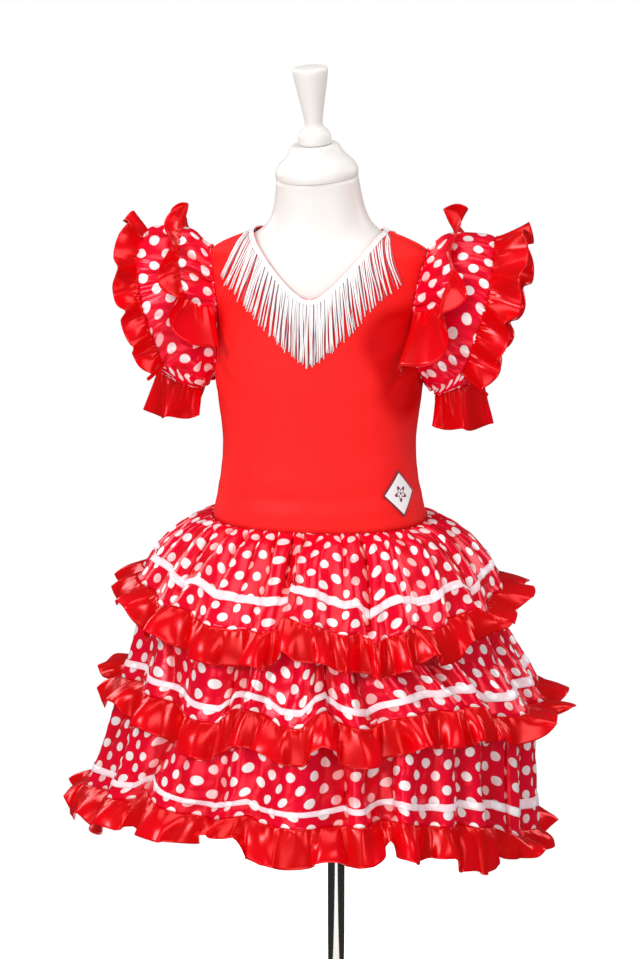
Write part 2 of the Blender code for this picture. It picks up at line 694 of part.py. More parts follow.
def sleeve_normal(ring, turn):
    along = sleeve_point(ring + 0.05, turn) - sleeve_point(ring - 0.05, turn)
    around = sleeve_point(ring, turn + 1) - sleeve_point(ring, turn - 1)
    return around.cross(along).normalized()


def mirrored(grid, side):
    """The grid for the wearer's left sleeve, or its mirror image with the rows turned round."""
    axis = torso_axis(0)
    if side == 1:
        return [[p + axis for p in row] for row in grid]
    return [[Vector((-p.x, p.y, p.z)) + axis for p in reversed(row)] for row in grid]


def seam_path(rows, count):
    """Points along a sleeve ruffle's seam, as ring and turn, front end to back end."""
    last = len(rows) - 1
    line = [{"step": k, **row} for k, row in enumerate(rows)]
    path = []
    for k in range(count + 1):
        place = k / count * 2 * last
        step = min(place, 2 * last - place)
        turn = read(line, "step", step, "turn")
        path.append((read(line, "step", step, "ring"), turn if place <= last else -turn))
    return path


def sleeve_strip(name, side, path, strip):
    """A gathered strip along a seam path. It leans away from the armhole, more so at the front
    and back of the sleeve than at its top, and droops there."""
    count = len(path) - 1
    roots = [sleeve_point(ring, turn, SLEEVE_RUFFLE_LIFT) for ring, turn in path]
    edges = []
    for k, (ring, turn) in enumerate(path):
        normal = sleeve_normal(ring, turn)
        along = (roots[min(k + 1, count)] - roots[max(k - 1, 0)]).normalized()
        outward = along.cross(normal).normalized()
        sideways = math.sin(math.radians(turn)) ** 2
        tilt = math.radians(between(strip["tilt_top"], strip["tilt_side"], sideways))
        wave = strip["wave"] * wave_out(strip["waves"] * k / count)
        reach = math.sqrt(strip["width"] ** 2 - wave * wave)
        band = normal * math.cos(tilt) + outward * math.sin(tilt)
        across = outward * math.cos(tilt) - normal * math.sin(tilt)
        edges.append(roots[k] + band * reach + across * wave - Vector((0, 0, strip["droop"] * sideways)))
    wall(name, mirrored([edges, roots], side), SCARLET)


def make_sleeve(side, word):
    turns = [-360 * k / SLEEVE_AROUND for k in range(SLEEVE_AROUND)]
    rings = list(range(len(SLEEVE)))
    tube = [[sleeve_point(ring, turn) for turn in turns] for ring in reversed(rings)]
    wall(f"sleeve_{word}", mirrored(tube, side), POLKA_RED, closed=True)
    for strip in SLEEVE_STRIPS:
        seam = UPPER_RUFFLE_SEAM if strip["name"] == "upper" else OUTER_RUFFLE_SEAM
        path = seam_path(seam, strip["waves"] * 4)
        sleeve_strip(f"sleeve_{strip['name']}_ruffle_{word}", side, path, strip)
    cuff_top = [sleeve_point(rings[-1], turn) + Vector((0, 0, -1.4)) for turn in turns]
    cuff_edge = []
    centre = sum(cuff_top, Vector()) / len(cuff_top)
    for k, point in enumerate(cuff_top):
        away = (point - centre).normalized()
        lean = 5 + 8 * wave_out(k / 4)
        cuff_edge.append(point + Vector((away.x, away.y, 0)) * lean + Vector((2, 0, -30 + 0.3 * lean)))
    wall(f"cuff_ruffle_{word}", mirrored([cuff_edge, cuff_top], side), SCARLET, closed=True)


# ---------------------------------------------------------------- skirt
def fold_at(folds, start, turn):
    """Angle, reach, drop and lean of the cloth after so many folds round."""
    count = len(folds)
    index, share = int(math.floor(turn)) % count, turn - math.floor(turn)
    total = sum(fold["width"] for fold in folds)
    here, after = folds[index], folds[(index + 1) % count]
    widths = sum(fold["width"] for fold in folds[:index]) + here["width"] * share
    whole = math.floor(turn / count)
    swell = (1 - math.cos(math.tau * share)) / 2
    crease = between(here["tuck"], after["tuck"], share)
    return {
        "angle": start + 360 * (widths / total + whole),
        "reach": here["reach"] * swell - crease * (1 - swell),
        "drop": here["drop"] * swell - 0.35 * crease * (1 - swell),
        "lean": here["lean"] * swell,
        "width": here["width"],
    }


def level_point(level, fold):
    """A point of a skirt level for a fold's values."""
    angle = math.radians(fold["angle"])
    sine, cosine = math.sin(angle), math.cos(angle)
    across = level["right"] if sine > 0 else level["left"]
    deep = level["front"] if cosine > 0 else level["back"]
    power = 2 / level["power"]
    slant = 2 - power
    outward = Vector((signed_power(sine, slant) / across, -signed_power(cosine, slant) / deep, 0.0)).normalized()
    along = Vector((-outward.y, outward.x, 0.0))
    share = level["fold"]
    reach = Vector((across * signed_power(sine, power), -deep * signed_power(cosine, power), 0.0))
    point = reach + torso_axis(0) + Vector((0.0, 0.0, level["height"]))
    end_tip = level["front_tip"] if cosine > 0 else level["back_tip"]
    point.z += level["side_tip"] * sine + end_tip * abs(cosine) - fold["drop"] * share
    return point + outward * fold["reach"] * share + along * fold["lean"] * share


class Tier:
    """One tier: its levels and folds, under the tier that carries it."""

    def __init__(self, levels, folds, start, above=None):
        self.levels, self.folds, self.start, self.above = levels, folds, start, above

    def fold(self, column):
        return fold_at(self.folds, self.start, column / COLUMNS_PER_FOLD)

    def inner_top(self, column):
        """Inside the last band of the tier above, clear of its wall."""
        here = self.above.band_point(column, TUCKED_SHARE)
        ahead = self.above.band_point(column + 1, TUCKED_SHARE)
        behind = self.above.band_point(column - 1, TUCKED_SHARE)
        lower = self.above.band_point(column, 1.0)
        sides = [(here - behind).cross(here - lower).normalized(), (ahead - here).cross(here - lower).normalized()]
        mean = (sides[0] + sides[1]).normalized()
        return here - mean * (TUCKED_DEPTH / max(mean.dot(sides[0]), 0.72))

    def point(self, column, number):
        level = self.levels[number]
        if self.above and number == 0:
            return self.inner_top(column)
        fold = self.fold(column)
        if level["own"] < 1:
            upper = self.above.fold(column)
            fold = {key: between(upper[key], fold[key], level["own"]) for key in fold}
        return level_point(level, fold)

    def band_point(self, column, share):
        """A point of the last band, share 1 at the hem."""
        last = len(self.levels) - 1
        return self.point(column, last - 1).lerp(self.point(column, last), share)

    def hem(self, column):
        return self.point(column, len(self.levels) - 1)


def halves():
    """The front and back spans of columns, each ending just before the side seams, with one more
    column past each end for the normals there."""
    whole = COLUMNS_PER_FOLD * len(FOLDS_1)
    spans = {}
    for word, first, last in (
        ("front", SIDE_SEAM_BACK - whole, SIDE_SEAM_FRONT),
        ("back", SIDE_SEAM_FRONT, SIDE_SEAM_BACK),
    ):
        inside = [float(column) for column in range(first + 1, last)]
        spans[word] = [first - 1, first + SIDE_SEAM_HALF, *inside, last - SIDE_SEAM_HALF, last + 1]
    return spans


def ruffle_edge(tier, column, ruffle, root):
    """The free edge of a hem ruffle under its root."""
    fold = tier.fold(column)
    angle = math.radians(fold["angle"])
    sine, cosine = math.sin(angle), math.cos(angle)
    side = ruffle["right"] if sine > 0 else ruffle["left"]
    end = ruffle["front"] if cosine > 0 else ruffle["back"]
    flare = side * sine * sine + end * cosine * cosine
    wave = column * WAVES_ROUND / (COLUMNS_PER_FOLD * len(FOLDS_1))
    narrow = min(fold["width"] / COMMON_FOLD, 1.2)
    out = flare + ruffle["wave"] * narrow * wave_out(wave % WAVES_ROUND)
    out = min(max(out, LEAST_FLARE) + CREASE_FILL * max(-fold["reach"], 0.0), 0.88 * RUFFLE_WIDTH)
    down = math.sqrt(RUFFLE_WIDTH ** 2 - out ** 2)
    return root + Vector((sine, -cosine, 0.0)) * out - Vector((0.0, 0.0, down))


def make_skirt():
    first = Tier(TIER_1, FOLDS_1, FOLD_START_1)
    second = Tier(TIER_2, FOLDS_2, FOLD_START_2, first)
    third = Tier(TIER_3, FOLDS_3, FOLD_START_3, second)
    around = list(range(COLUMNS_PER_FOLD * len(FOLDS_1)))
    for number, tier in enumerate((first, second, third)):
        for word, columns in halves().items():
            levels = reversed(range(len(tier.levels)))
            grid = [[tier.point(column, level) for column in columns] for level in levels]
            wall(f"tier_{number + 1}_{word}", grid, POLKA_RED, extra=1)
        roots = [tier.hem(column) - Vector((0.0, 0.0, SATIN / 2 + SEAM_GAP + 0.2)) for column in around]
        edges = [ruffle_edge(tier, c, HEM_RUFFLES[number], root) for c, root in zip(around, roots)]
        wall(f"hem_ruffle_{number + 1}", [edges, roots], SCARLET, closed=True)
        make_tape(f"tape_{number + 1}", tier, around, TAPE_PLACES[number])


def make_tape(name, tier, columns, place):
    """A tape that lies on the tier's last band, moved out from its points."""
    length = (tier.band_point(0, 1) - tier.band_point(0, 0)).length
    half = TAPE_WIDTH / 2 / length
    grid = [[tier.band_point(c, share) for c in columns] for share in (place + half, place - half)]
    normals = grid_normals(grid, True)
    out = SATIN / 2 + SEAM_GAP + 0.25 + SATIN / 2
    lifted = [[p + n * out for p, n in zip(row, line)] for row, line in zip(grid, normals)]
    wall(name, lifted, WHITE_TAPE, closed=True)


def main():
    for old in list(bpy.data.objects):
        bpy.data.objects.remove(old, do_unlink=True)
    make_form()
    bodice_panel("bodice_front", True)
    bodice_panel("bodice_back", False)
    make_patch()
    make_fringe()
    for side, word in ((1, "left"), (-1, "right")):
        make_sleeve(side, word)
    make_skirt()


main()
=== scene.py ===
# Child's flamenco dress on a limbless dress form: the looks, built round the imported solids.
# Lengths in the tables are in millimetres, and mm turns them into metres.

import math

import bpy
import numpy as np
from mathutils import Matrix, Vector


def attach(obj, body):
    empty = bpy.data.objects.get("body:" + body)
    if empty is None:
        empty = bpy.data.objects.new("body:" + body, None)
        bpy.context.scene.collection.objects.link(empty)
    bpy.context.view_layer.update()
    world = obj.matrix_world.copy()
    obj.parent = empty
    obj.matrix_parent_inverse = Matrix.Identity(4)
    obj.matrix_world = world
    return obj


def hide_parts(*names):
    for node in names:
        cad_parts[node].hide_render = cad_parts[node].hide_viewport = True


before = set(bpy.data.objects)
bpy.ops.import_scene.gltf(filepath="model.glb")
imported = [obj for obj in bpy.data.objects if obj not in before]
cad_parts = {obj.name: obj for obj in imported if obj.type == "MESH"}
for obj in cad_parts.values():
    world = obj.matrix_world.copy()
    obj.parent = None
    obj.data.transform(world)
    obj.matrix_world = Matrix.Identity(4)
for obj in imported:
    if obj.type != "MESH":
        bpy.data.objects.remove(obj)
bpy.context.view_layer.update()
print("frame loaded:", len(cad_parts), "nodes")

mm = 0.001
upward = np.array([0, 0, 1.0])


# tables and smooth curves

def tableOf(columns, *rows):
    data = np.array(rows, float)
    return {name: data[:, k] for k, name in enumerate(columns.split())}


def smoothThrough(x, y, place):
    # value at a place on a smooth curve through the points, y may hold whole rows of points
    place = np.asarray(place, float)
    i = np.clip(np.searchsorted(x, place, side="right") - 1, 0, len(x) - 2)
    before, after = np.maximum(i - 1, 0), np.minimum(i + 2, len(x) - 1)
    step = x[i + 1] - x[i]
    share = np.clip((place - x[i]) / step, 0, 1)
    low, high = y[i], y[i + 1]
    spread = (slice(None),) * place.ndim + (None,) * (y.ndim - 1)
    share, step = share[spread], step[spread]
    slopeLow = (high - y[before]) / (x[i + 1] - x[before])[spread] * step
    slopeHigh = (y[after] - low) / (x[after] - x[i])[spread] * step
    s2, s3 = share ** 2, share ** 3
    return ((2 * s3 - 3 * s2 + 1) * low + (s3 - 2 * s2 + share) * slopeLow
            + (3 * s2 - 2 * s3) * high + (s3 - s2) * slopeHigh)


def mix(low, high, share):
    return low + (high - low) * share


def unit(vectors):
    return vectors / np.maximum(np.linalg.norm(vectors, axis=-1, keepdims=True), 1e-9)


def signedPower(value, power):
    return np.sign(value) * np.abs(value) ** power


def lengthsAlong(rows):
    # how far along a line of points, or down each column of a grid, every point lies
    steps = np.linalg.norm(np.diff(rows, axis=0), axis=-1)
    return np.concatenate([0 * steps[:1], np.cumsum(steps, axis=0)])


def sineCosine(degrees):
    turn = np.radians(degrees)
    return np.sin(turn), np.cos(turn)


def fadeIn(value):
    value = np.clip(value, 0, 1)
    return value * value * (3 - 2 * value)


def unevenness(u, v, size, seed):
    # smooth wandering value from about -1 to 1 over a cloth, with lumps of the given size
    chance = np.random.default_rng(seed)
    total = 0
    for _ in range(8):
        turn, phase = chance.uniform(0, math.tau, 2)
        pace = math.tau / size * chance.uniform(0.45, 1.2)
        total = total + np.sin(pace * (u * math.cos(turn) + v * math.sin(turn)) + phase)
    return total / 3.6


def gathers(around, count, seed):
    # small puckers round a closed seam, around from 0 to 1, uneven in width and depth
    chance = np.random.default_rng(seed)
    phase = math.tau * count * around
    for k in (3, 5, 8, 13):
        phase = phase + chance.uniform(0.5, 1.3) * np.sin(math.tau * k * around + chance.uniform(0, 6))
    depth = 1 + 0.45 * np.sin(math.tau * 11 * around + chance.uniform(0, 6)) * np.sin(
        math.tau * 7 * around + chance.uniform(0, 6))
    return depth * np.sin(phase)


def gatherPlan(seams, width, seed):
    # cloth gathered into tucks of uneven width: their edges between the seams, and how deep each goes
    chance = np.random.default_rng(seed)
    edges = [np.array([seams[0]])]
    for start, end in zip(seams, seams[1:]):
        parts = chance.uniform(0.45, 1.8, max(2, round((end - start) / width)))
        edges.append(start + (end - start) * np.cumsum(parts) / parts.sum())
    edges = np.concatenate(edges)
    return edges, chance.uniform(0.35, 1.15, len(edges) - 1)


def drawIn(place, plan, fullness):
    # one row of gathered cloth: where each thread moves to, how deep it sinks, and how far in a tuck it is
    edges, depths = plan
    i = np.clip(np.searchsorted(edges, place, side="right") - 1, 0, len(depths) - 1)
    width = edges[i + 1] - edges[i]
    turn = np.clip((place - edges[i]) / width, 0, 1) * 2 - 1
    off = np.abs(turn)
    power = 1 + (fullness - 1) * np.clip(depths[i] * 1.15, 0, 1.2)
    moved = edges[i] + width * (0.5 + np.sign(turn) * off ** power / 2)
    deep = width / 2 * 0.785 * np.maximum(power - 1, 0) ** 0.6 * depths[i] * (1 - np.sin(off * math.pi / 2))
    return moved, deep


# cloth meshes

def outwardOf(grid, closed):
    # unit normals of rows of points, bottom to top, that run round by increasing angle
    if closed:
        across = np.roll(grid, -1, 1) - np.roll(grid, 1, 1)
    else:
        across = np.gradient(grid, axis=1)
    return unit(np.cross(across, np.gradient(grid, axis=0)))


def bareMesh(name, points, faces, uvs):
    mesh = bpy.data.meshes.new(name)
    mesh.from_pydata((np.asarray(points) * mm).tolist(), [], [list(map(int, face)) for face in faces])
    layer = mesh.uv_layers.new(name="UVMap")
    layer.data.foreach_set("uv", (np.asarray(uvs, float) * mm).ravel())
    mesh.validate()
    mesh.shade_smooth()
    made = bpy.data.objects.new(name, mesh)
    bpy.context.scene.collection.objects.link(made)
    return made


def flatGrid(along, up):
    # the flat cloth's own coordinates at every point of a grid
    return np.stack(np.broadcast_arrays(along, up), -1)


def clothMesh(name, grid, uvGrid, closed, thick, shade=None):
    # one wall of cloth through a grid of points, uvGrid has a column more where it closes
    rows, columns = grid.shape[:2]
    spans = columns if closed else columns - 1
    i, j = np.meshgrid(np.arange(rows - 1), np.arange(spans), indexing="ij")
    k = (j + 1) % columns
    faces = np.stack([i * columns + j, i * columns + k, (i + 1) * columns + k, (i + 1) * columns + j], -1)
    corners = np.stack([uvGrid[i, j], uvGrid[i, j + 1], uvGrid[i + 1, j + 1], uvGrid[i + 1, j]], -2)
    made = bareMesh(name, grid.reshape(-1, 3), faces.reshape(-1, 4), corners.reshape(-1, 2))
    if shade is not None:
        keepShade(made, shade)
    thicken(made, thick)
    return made


def keepShade(made, shade):
    # painted shade kept in the mesh: 0 on a fold's crest, 1 deep in it
    layer = made.data.attributes.new("shade", "FLOAT", "POINT")
    layer.data.foreach_set("value", np.clip(shade, 0, 1).ravel())


def thicken(piece, thick):
    chooseOnly(piece)
    solidify = piece.modifiers.new("thickness", "SOLIDIFY")
    solidify.thickness = thick * mm
    solidify.offset = 0
    bpy.ops.object.modifier_apply(modifier=solidify.name)


def chooseOnly(piece):
    bpy.ops.object.select_all(action="DESELECT")
    piece.select_set(True)
    bpy.context.view_layer.objects.active = piece


def dress(piece, material, slot, *nodes):
    # finish of a piece: its material, its body and the solids it stands for; slot is not used
    piece.data.materials.clear()
    piece.data.materials.append(material)
    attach(piece, "root")
    if nodes:
        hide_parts(*nodes)
    return piece


# shader maths

class Wire:
    # an output socket that can be used in sums
    def __init__(self, tree, socket=None):
        self.tree = tree
        self.socket = socket

    def add(self, kind, settings=None, inputs=None, output=0):
        made = self.tree.nodes.new(kind)
        for key, value in (settings or {}).items():
            if key == "stops":
                ramp = made.color_ramp
                while len(ramp.elements) < len(value):
                    ramp.elements.new(0.5)
                for element, (place, color) in zip(ramp.elements, value):
                    element.position = place
                    element.color = color
            else:
                setattr(made, key, value)
        for key, value in (inputs or {}).items():
            if isinstance(value, Wire):
                self.tree.links.new(value.socket, made.inputs[key])
            else:
                made.inputs[key].default_value = value
        return Wire(self.tree, made.outputs[output])

    def maths(self, operation, *values):
        return self.add("ShaderNodeMath", {"operation": operation}, dict(enumerate(values)))

    def __add__(self, other):
        return self.maths("ADD", self, other)

    __radd__ = __add__

    def __sub__(self, other):
        return self.maths("SUBTRACT", self, other)

    def __rsub__(self, other):
        return self.maths("SUBTRACT", other, self)

    def __mul__(self, other):
        return self.maths("MULTIPLY", self, other)

    __rmul__ = __mul__

    def __truediv__(self, other):
        return self.maths("DIVIDE", self, other)

    def __pow__(self, other):
        return self.maths("POWER", self, other)

    def sine(self):
        return self.maths("SINE", self)

    def size(self):
        return self.maths("ABSOLUTE", self)

    def part(self):
        return self.maths("FRACT", self)

    def least(self, other):
        return self.maths("MINIMUM", self, other)

    def most(self, other):
        return self.maths("MAXIMUM", self, other)

    def edge(self, low, high):
        # 0 below low, 1 above high, and soft between, also with low above high
        if low > high:
            return 1 - self.edge(high, low)
        return self.add("ShaderNodeMapRange", {"interpolation_type": "SMOOTHSTEP"},
                        {0: self, 1: low, 2: high, 3: 0.0, 4: 1.0})

    def blend(self, first, second):
        # colour that goes from first to second as this value goes from 0 to 1
        return self.add("ShaderNodeMix", {"data_type": "RGBA"}, {0: self, 6: first, 7: second}, output=2)


def startMaterial(name, color, roughness, **fixed):
    made = bpy.data.materials.new(name)
    made.use_nodes = True
    shader = made.node_tree.nodes["Principled BSDF"]
    shader.inputs["Base Color"].default_value = (*color, 1)
    shader.inputs["Roughness"].default_value = roughness
    for key, value in fixed.items():
        shader.inputs[key.replace("_", " ")].default_value = value
    return made, shader, Wire(made.node_tree)


def feed(shader, **wires):
    tree = shader.id_data
    for key, wire in wires.items():
        tree.links.new(wire.socket, shader.inputs[key.replace("_", " ")])


def firstTwo(wire, place):
    return [wire.add("ShaderNodeSeparateXYZ", None, {0: place}, k) for k in (0, 1)]


def clothPlace(wire):
    # the flat cloth's own coordinates in metres, across and along
    uv = wire.add("ShaderNodeUVMap", {"uv_map": "UVMap"})
    return uv, *firstTwo(wire, uv)


def solidPlace(wire):
    return wire.add("ShaderNodeTexCoord", None, None, "Object")


def weaveOf(across, along, pace):
    # threads that go over and under
    return (across * pace).sine() * (along * pace).sine()


def grain(wire, place, scale, detail=3.0, stretch=None):
    if stretch:
        place = wire.add("ShaderNodeMapping", None, {0: place, 3: stretch})
    return wire.add("ShaderNodeTexNoise", None, {"Vector": place, "Scale": scale, "Detail": detail})


def relief(wire, height, depth, distance=0.001):
    return wire.add("ShaderNodeBump", None, {"Height": height, "Strength": depth, "Distance": distance})


satinLook = {
    # the deep colours are painted shade, what the cloth and its dots turn to in folds
    "crimson": (0.90, 0.0, 0.026, 1), "deep": (0.74, 0.0, 0.012, 1), "dot": (0.99, 0.88, 0.88, 1),
    "dotPaintedShade": (0.98, 0.40, 0.40, 1), "scarlet": (0.89, 0.0, 0.006, 1),
    "scarletPaintedShade": (0.70, 0.0, 0.001, 1),
    "dotAcross": 0.0105, "dotRepeat": 0.0272, "threads": 5200.0,
}
# the crepe's deep colour is painted shade
crepeLook = {"red": (0.94, 0.016, 0.016, 1), "deep": (0.62, 0.0, 0.001, 1), "threads": 4200.0}
tapeLook = {"white": (0.96, 0.92, 0.94, 1), "overDots": (0.90, 0.66, 0.71, 1),
            "stitched": (0.84, 0.48, 0.54, 1), "stitchEvery": 0.0030, "ribs": 7000.0}
yarnColors = {"silk": (0.95, 0.92, 0.93, 1), "shaded": (0.26, 0.18, 0.21, 1)}
patchColors = {"cloth": (0.90, 0.87, 0.88, 1), "thread": (0.20, 0.012, 0.03, 1)}
glossColors = {"pale": (0.80, 0.77, 0.74, 1), "dull": (0.77, 0.74, 0.71, 1)}
chromeColors = {"pale": (0.66, 0.65, 0.62, 1), "smeared": (0.54, 0.53, 0.50, 1)}
steelColors = {"pale": (0.56, 0.56, 0.58, 1), "brushed": (0.44, 0.44, 0.46, 1)}


def foldShade(wire):
    # painted shade kept in the mesh, how deep in a fold a place is
    return wire.add("ShaderNodeAttribute", {"attribute_name": "shade"}, None, "Fac")


def polkaDots(across, along, soft):
    # staggered round dots of the flat cloth, 1 inside them
    look = satinLook
    far = []
    for shift in (0.0, 0.5):
        x = (across / look["dotRepeat"] + shift).part() - 0.5
        y = (along / look["dotRepeat"] + shift).part() - 0.5
        far.append((x * x + y * y) ** 0.5)
    radius = look["dotAcross"] / look["dotRepeat"] / 2
    return far[0].least(far[1]).edge(radius + soft, radius - soft)


def dottedSatin():
    look = satinLook
    made, shader, wire = startMaterial("dotted satin", look["crimson"][:3], 0.25, Metallic=0.25,
                                       Specular_IOR_Level=0.4)
    place, across, along = clothPlace(wire)
    dot = polkaDots(across, along, 0.014)
    sheenStreak = grain(wire, place, 30.0, 2.0, (1.0, 0.16, 1.0))
    cloud = grain(wire, place, 17.0, 1.0, (1.0, 0.55, 1.0))
    crumple = grain(wire, place, 95.0, 2.0, (1.0, 0.45, 1.0))
    # painted shade and sheen: the crimson and its dots darken deep in folds and along long streaks, the dots
    # also in broad patches
    deep = (foldShade(wire) + (sheenStreak - 0.5) * 0.9).edge(0.12, 0.62)
    dull = (foldShade(wire) * 0.8 + (sheenStreak - 0.5) * 1.1 + (cloud - 0.5) * 1.6).edge(0.08, 0.62)
    ground = deep.blend(look["crimson"], look["deep"])
    shadedPrint = dull.blend(look["dot"], look["dotPaintedShade"])
    weave = weaveOf(across, along, look["threads"])
    feed(shader, Base_Color=dot.blend(ground, shadedPrint), Roughness=0.23 + 0.05 * deep + 0.06 * dot,
         Normal=relief(wire, crumple * 0.8 + weave * 0.03, 0.4))
    return made


def glossySatin():
    look = satinLook
    made, shader, wire = startMaterial("scarlet satin", look["scarlet"][:3], 0.22, Metallic=0.25,
                                       Specular_IOR_Level=0.4)
    place, across, along = clothPlace(wire)
    sheenStreak = grain(wire, place, 26.0, 2.0, (1.0, 0.4, 1.0))
    crumple = grain(wire, place, 110.0, 2.0, (1.0, 0.4, 1.0))
    # painted shade: the scarlet darkens deep in folds and along long streaks
    deep = (foldShade(wire) + (sheenStreak - 0.5) * 1.0).edge(0.15, 0.85)
    weave = weaveOf(across, along, look["threads"])
    feed(shader, Base_Color=deep.blend(look["scarlet"], look["scarletPaintedShade"]), Roughness=0.20 + 0.04 * deep,
         Normal=relief(wire, crumple * 0.5 + weave * 0.03, 0.25))
    return made


def smoothCrepe():
    look = crepeLook
    made, shader, wire = startMaterial("bodice crepe", (0.94, 0.014, 0.015), 0.5, Specular_IOR_Level=0.12)
    place, across, along = clothPlace(wire)
    cloud = grain(wire, place, 9.0, 2.0)
    fuzz = grain(wire, place, 900.0, 2.0)
    # painted shade: the crepe darkens beside the sleeves, on the flanks and in creases, as the mesh's shade
    # says
    deep = (foldShade(wire) + (cloud - 0.5) * 0.25).edge(0.0, 1.0)
    thread = weaveOf(across, along, look["threads"])
    feed(shader, Base_Color=deep.blend(look["red"], look["deep"]), Roughness=0.46 + 0.08 * fuzz,
         Normal=relief(wire, thread * 0.25 + fuzz * 0.4, 0.16, 0.0006))
    return made


def tapeSatin():
    # thin white tape, the dots of the cloth under it show a little
    look = tapeLook
    made, shader, wire = startMaterial("white tape", (0.90, 0.80, 0.83), 0.36, Specular_IOR_Level=0.6)
    place, across, along = clothPlace(wire)
    inside = 0.5 - (foldShade(wire) - 0.5).size()  # from 0 at the tape's edges to 0.5 in its middle
    selvage = inside.edge(0.10, 0.03)
    stitch = (across / look["stitchEvery"]).part().edge(0.25, 0.4)
    stitch = stitch * inside.edge(0.10, 0.14) * inside.edge(0.22, 0.18)
    under = polkaDots(across, along, 0.04)
    cloud = grain(wire, place, 70.0, 2.0, (1.0, 0.3, 1.0))
    base = (under * 0.75 + (cloud - 0.35)).edge(0.0, 0.8).blend(look["overDots"], look["white"])
    marked = (selvage.most(stitch * 0.5) * 0.5).blend(base, look["stitched"])
    ribs = (across * look["ribs"]).sine()
    feed(shader, Base_Color=marked, Roughness=0.34 + 0.15 * selvage,
         Normal=relief(wire, ribs * 0.12 + selvage * 0.6 - stitch * 0.6, 0.4, 0.0006))
    return made


def silkFringe():
    made, shader, wire = startMaterial("fringe yarn", (0.86, 0.82, 0.83), 0.5, Sheen_Weight=0.4,
                                       Sheen_Roughness=0.4)
    place, across, along = clothPlace(wire)
    twist = ((along * 2600.0) + (across * 9000.0)).sine()
    tone = grain(wire, place, 40.0, 1.0)
    # painted shadow: strands darken by their kept shade, standing for the shadow between strands, with some
    # tone noise
    strandShade = (foldShade(wire) + (tone - 0.5) * 0.5).edge(0.05, 1.0)
    feed(shader, Base_Color=strandShade.blend(yarnColors["silk"], yarnColors["shaded"]),
         Roughness=0.46 + 0.08 * tone, Normal=relief(wire, twist, 0.35, 0.0004))
    return made


def patchCloth():
    # white cloth, dark red overlocked edge and a plain five-petalled rosette
    made, shader, wire = startMaterial("patch", (0.9, 0.88, 0.88), 0.6, Sheen_Weight=0.2)
    across, along = clothPlace(wire)[1:]
    x, y = across - 0.5, along - 0.5
    border = (0.5 - x.size().most(y.size())).edge(0.062, 0.048)
    ticks = ((across + along) * 260.0).sine()
    far = (x * x + y * y) ** 0.5
    petals = (wire.maths("ARCTAN2", y, x) * 5.0).sine()
    outer, inner = far - (0.19 + 0.075 * petals), far - (0.115 + 0.045 * petals)
    rosette = outer.edge(0.012, -0.012) * inner.edge(-0.010, 0.010).most(far.edge(0.05, 0.035))
    feed(shader, Base_Color=border.most(rosette).blend(patchColors["cloth"], patchColors["thread"]),
         Roughness=0.55 + 0.15 * border,
         Normal=relief(wire, border * 0.8 + border * ticks * 0.3 + rosette * 0.5, 0.6, 0.0006))
    return made


def glossWhite():
    made, shader, wire = startMaterial("form gloss", (0.80, 0.77, 0.73), 0.42, Specular_IOR_Level=0.4,
                                       Coat_Weight=0.12, Coat_Roughness=0.25)
    place = solidPlace(wire)
    cloud, speck = grain(wire, place, 5.0), grain(wire, place, 60.0, 4.0)
    feed(shader, Base_Color=cloud.edge(0.35, 0.7).blend(glossColors["pale"], glossColors["dull"]),
         Roughness=0.38 + 0.1 * speck, Normal=relief(wire, speck, 0.05, 0.0008))
    return made


def chrome():
    made, shader, wire = startMaterial("pole chrome", (0.78, 0.78, 0.80), 0.08, Metallic=1.0)
    smear = grain(wire, solidPlace(wire), 30.0, 3.0, (1.0, 1.0, 0.08))
    feed(shader, Base_Color=smear.blend(chromeColors["pale"], chromeColors["smeared"]),
         Roughness=0.05 + 0.1 * smear)
    return made


def brushedSteel():
    made, shader, wire = startMaterial("base steel", (0.5, 0.5, 0.52), 0.32, Metallic=1.0)
    x, y = firstTwo(wire, solidPlace(wire))
    ring = grain(wire, wire.add("ShaderNodeCombineXYZ", None, {0: (x * x + y * y) ** 0.5}), 900.0, 2.0)
    feed(shader, Base_Color=ring.blend(steelColors["pale"], steelColors["brushed"]),
         Roughness=0.26 + 0.16 * ring, Normal=relief(wire, ring, 0.08, 0.0005))
    return made


satin, scarlet, crepe, ribbon = dottedSatin(), glossySatin(), smoothCrepe(), tapeSatin()
yarn, patchLook = silkFringe(), patchCloth()
formLook, poleLook, baseLook = glossWhite(), chrome(), brushedSteel()
print("materials made")


# the torso's surface, which the bodice and the sleeves follow

torso = {
    "waist": 634.0, "underarm": 787.0, "shoulder": 922.0, "neck": 942.0, "neckReach": 66.0,
    "vBottom": 882.0, "backNeck": 918.0, "armholeDepth": 38.0, "neckRound": 0.28, "power": 2.3,
    "aside": -17.0, "forward": 12.0, "leanAcross": -0.055, "leanForward": -0.10, "leanFrom": 945.0,
    "clearance": 1.6, "satin": 1.2, "neckEase": 1.6, "leanSoft": 30.0, "tiltOver": 40.0,
    "sections": tableOf(
        "height half front back",
        (500, 120, 86, 84), (634, 112.0, 79, 78), (676, 104.0, 73.5, 72.5), (718, 101.0, 71, 70),
        (762, 105.5, 74, 75), (787, 108.5, 77, 78), (795, 109.0, 77.2, 78.3), (815, 110.0, 77.5, 79),
        (850, 111.5, 77, 80), (882, 112.5, 75, 77), (902, 113.0, 70, 72), (915, 112.5, 65, 67),
        (922, 111.0, 61, 63), (932, 91.0, 55, 57), (940.5, 68.5, 51, 53), (955, 50.5, 46, 48),
        (985, 45.0, 42, 44), (1002, 43.0, 41, 42),
    ),
}


def torsoAxis(height):
    above = np.maximum(np.asarray(height, float) - torso["leanFrom"], 0)
    lean = above * above / (above + torso["leanSoft"])
    return np.stack([torso["aside"] + torso["leanAcross"] * lean,
                     -torso["forward"] + torso["leanForward"] * lean, 0 * lean], -1)


def bodySize(height):
    sections = torso["sections"]
    return [smoothThrough(sections["height"], sections[name], height) for name in ("half", "front", "back")]


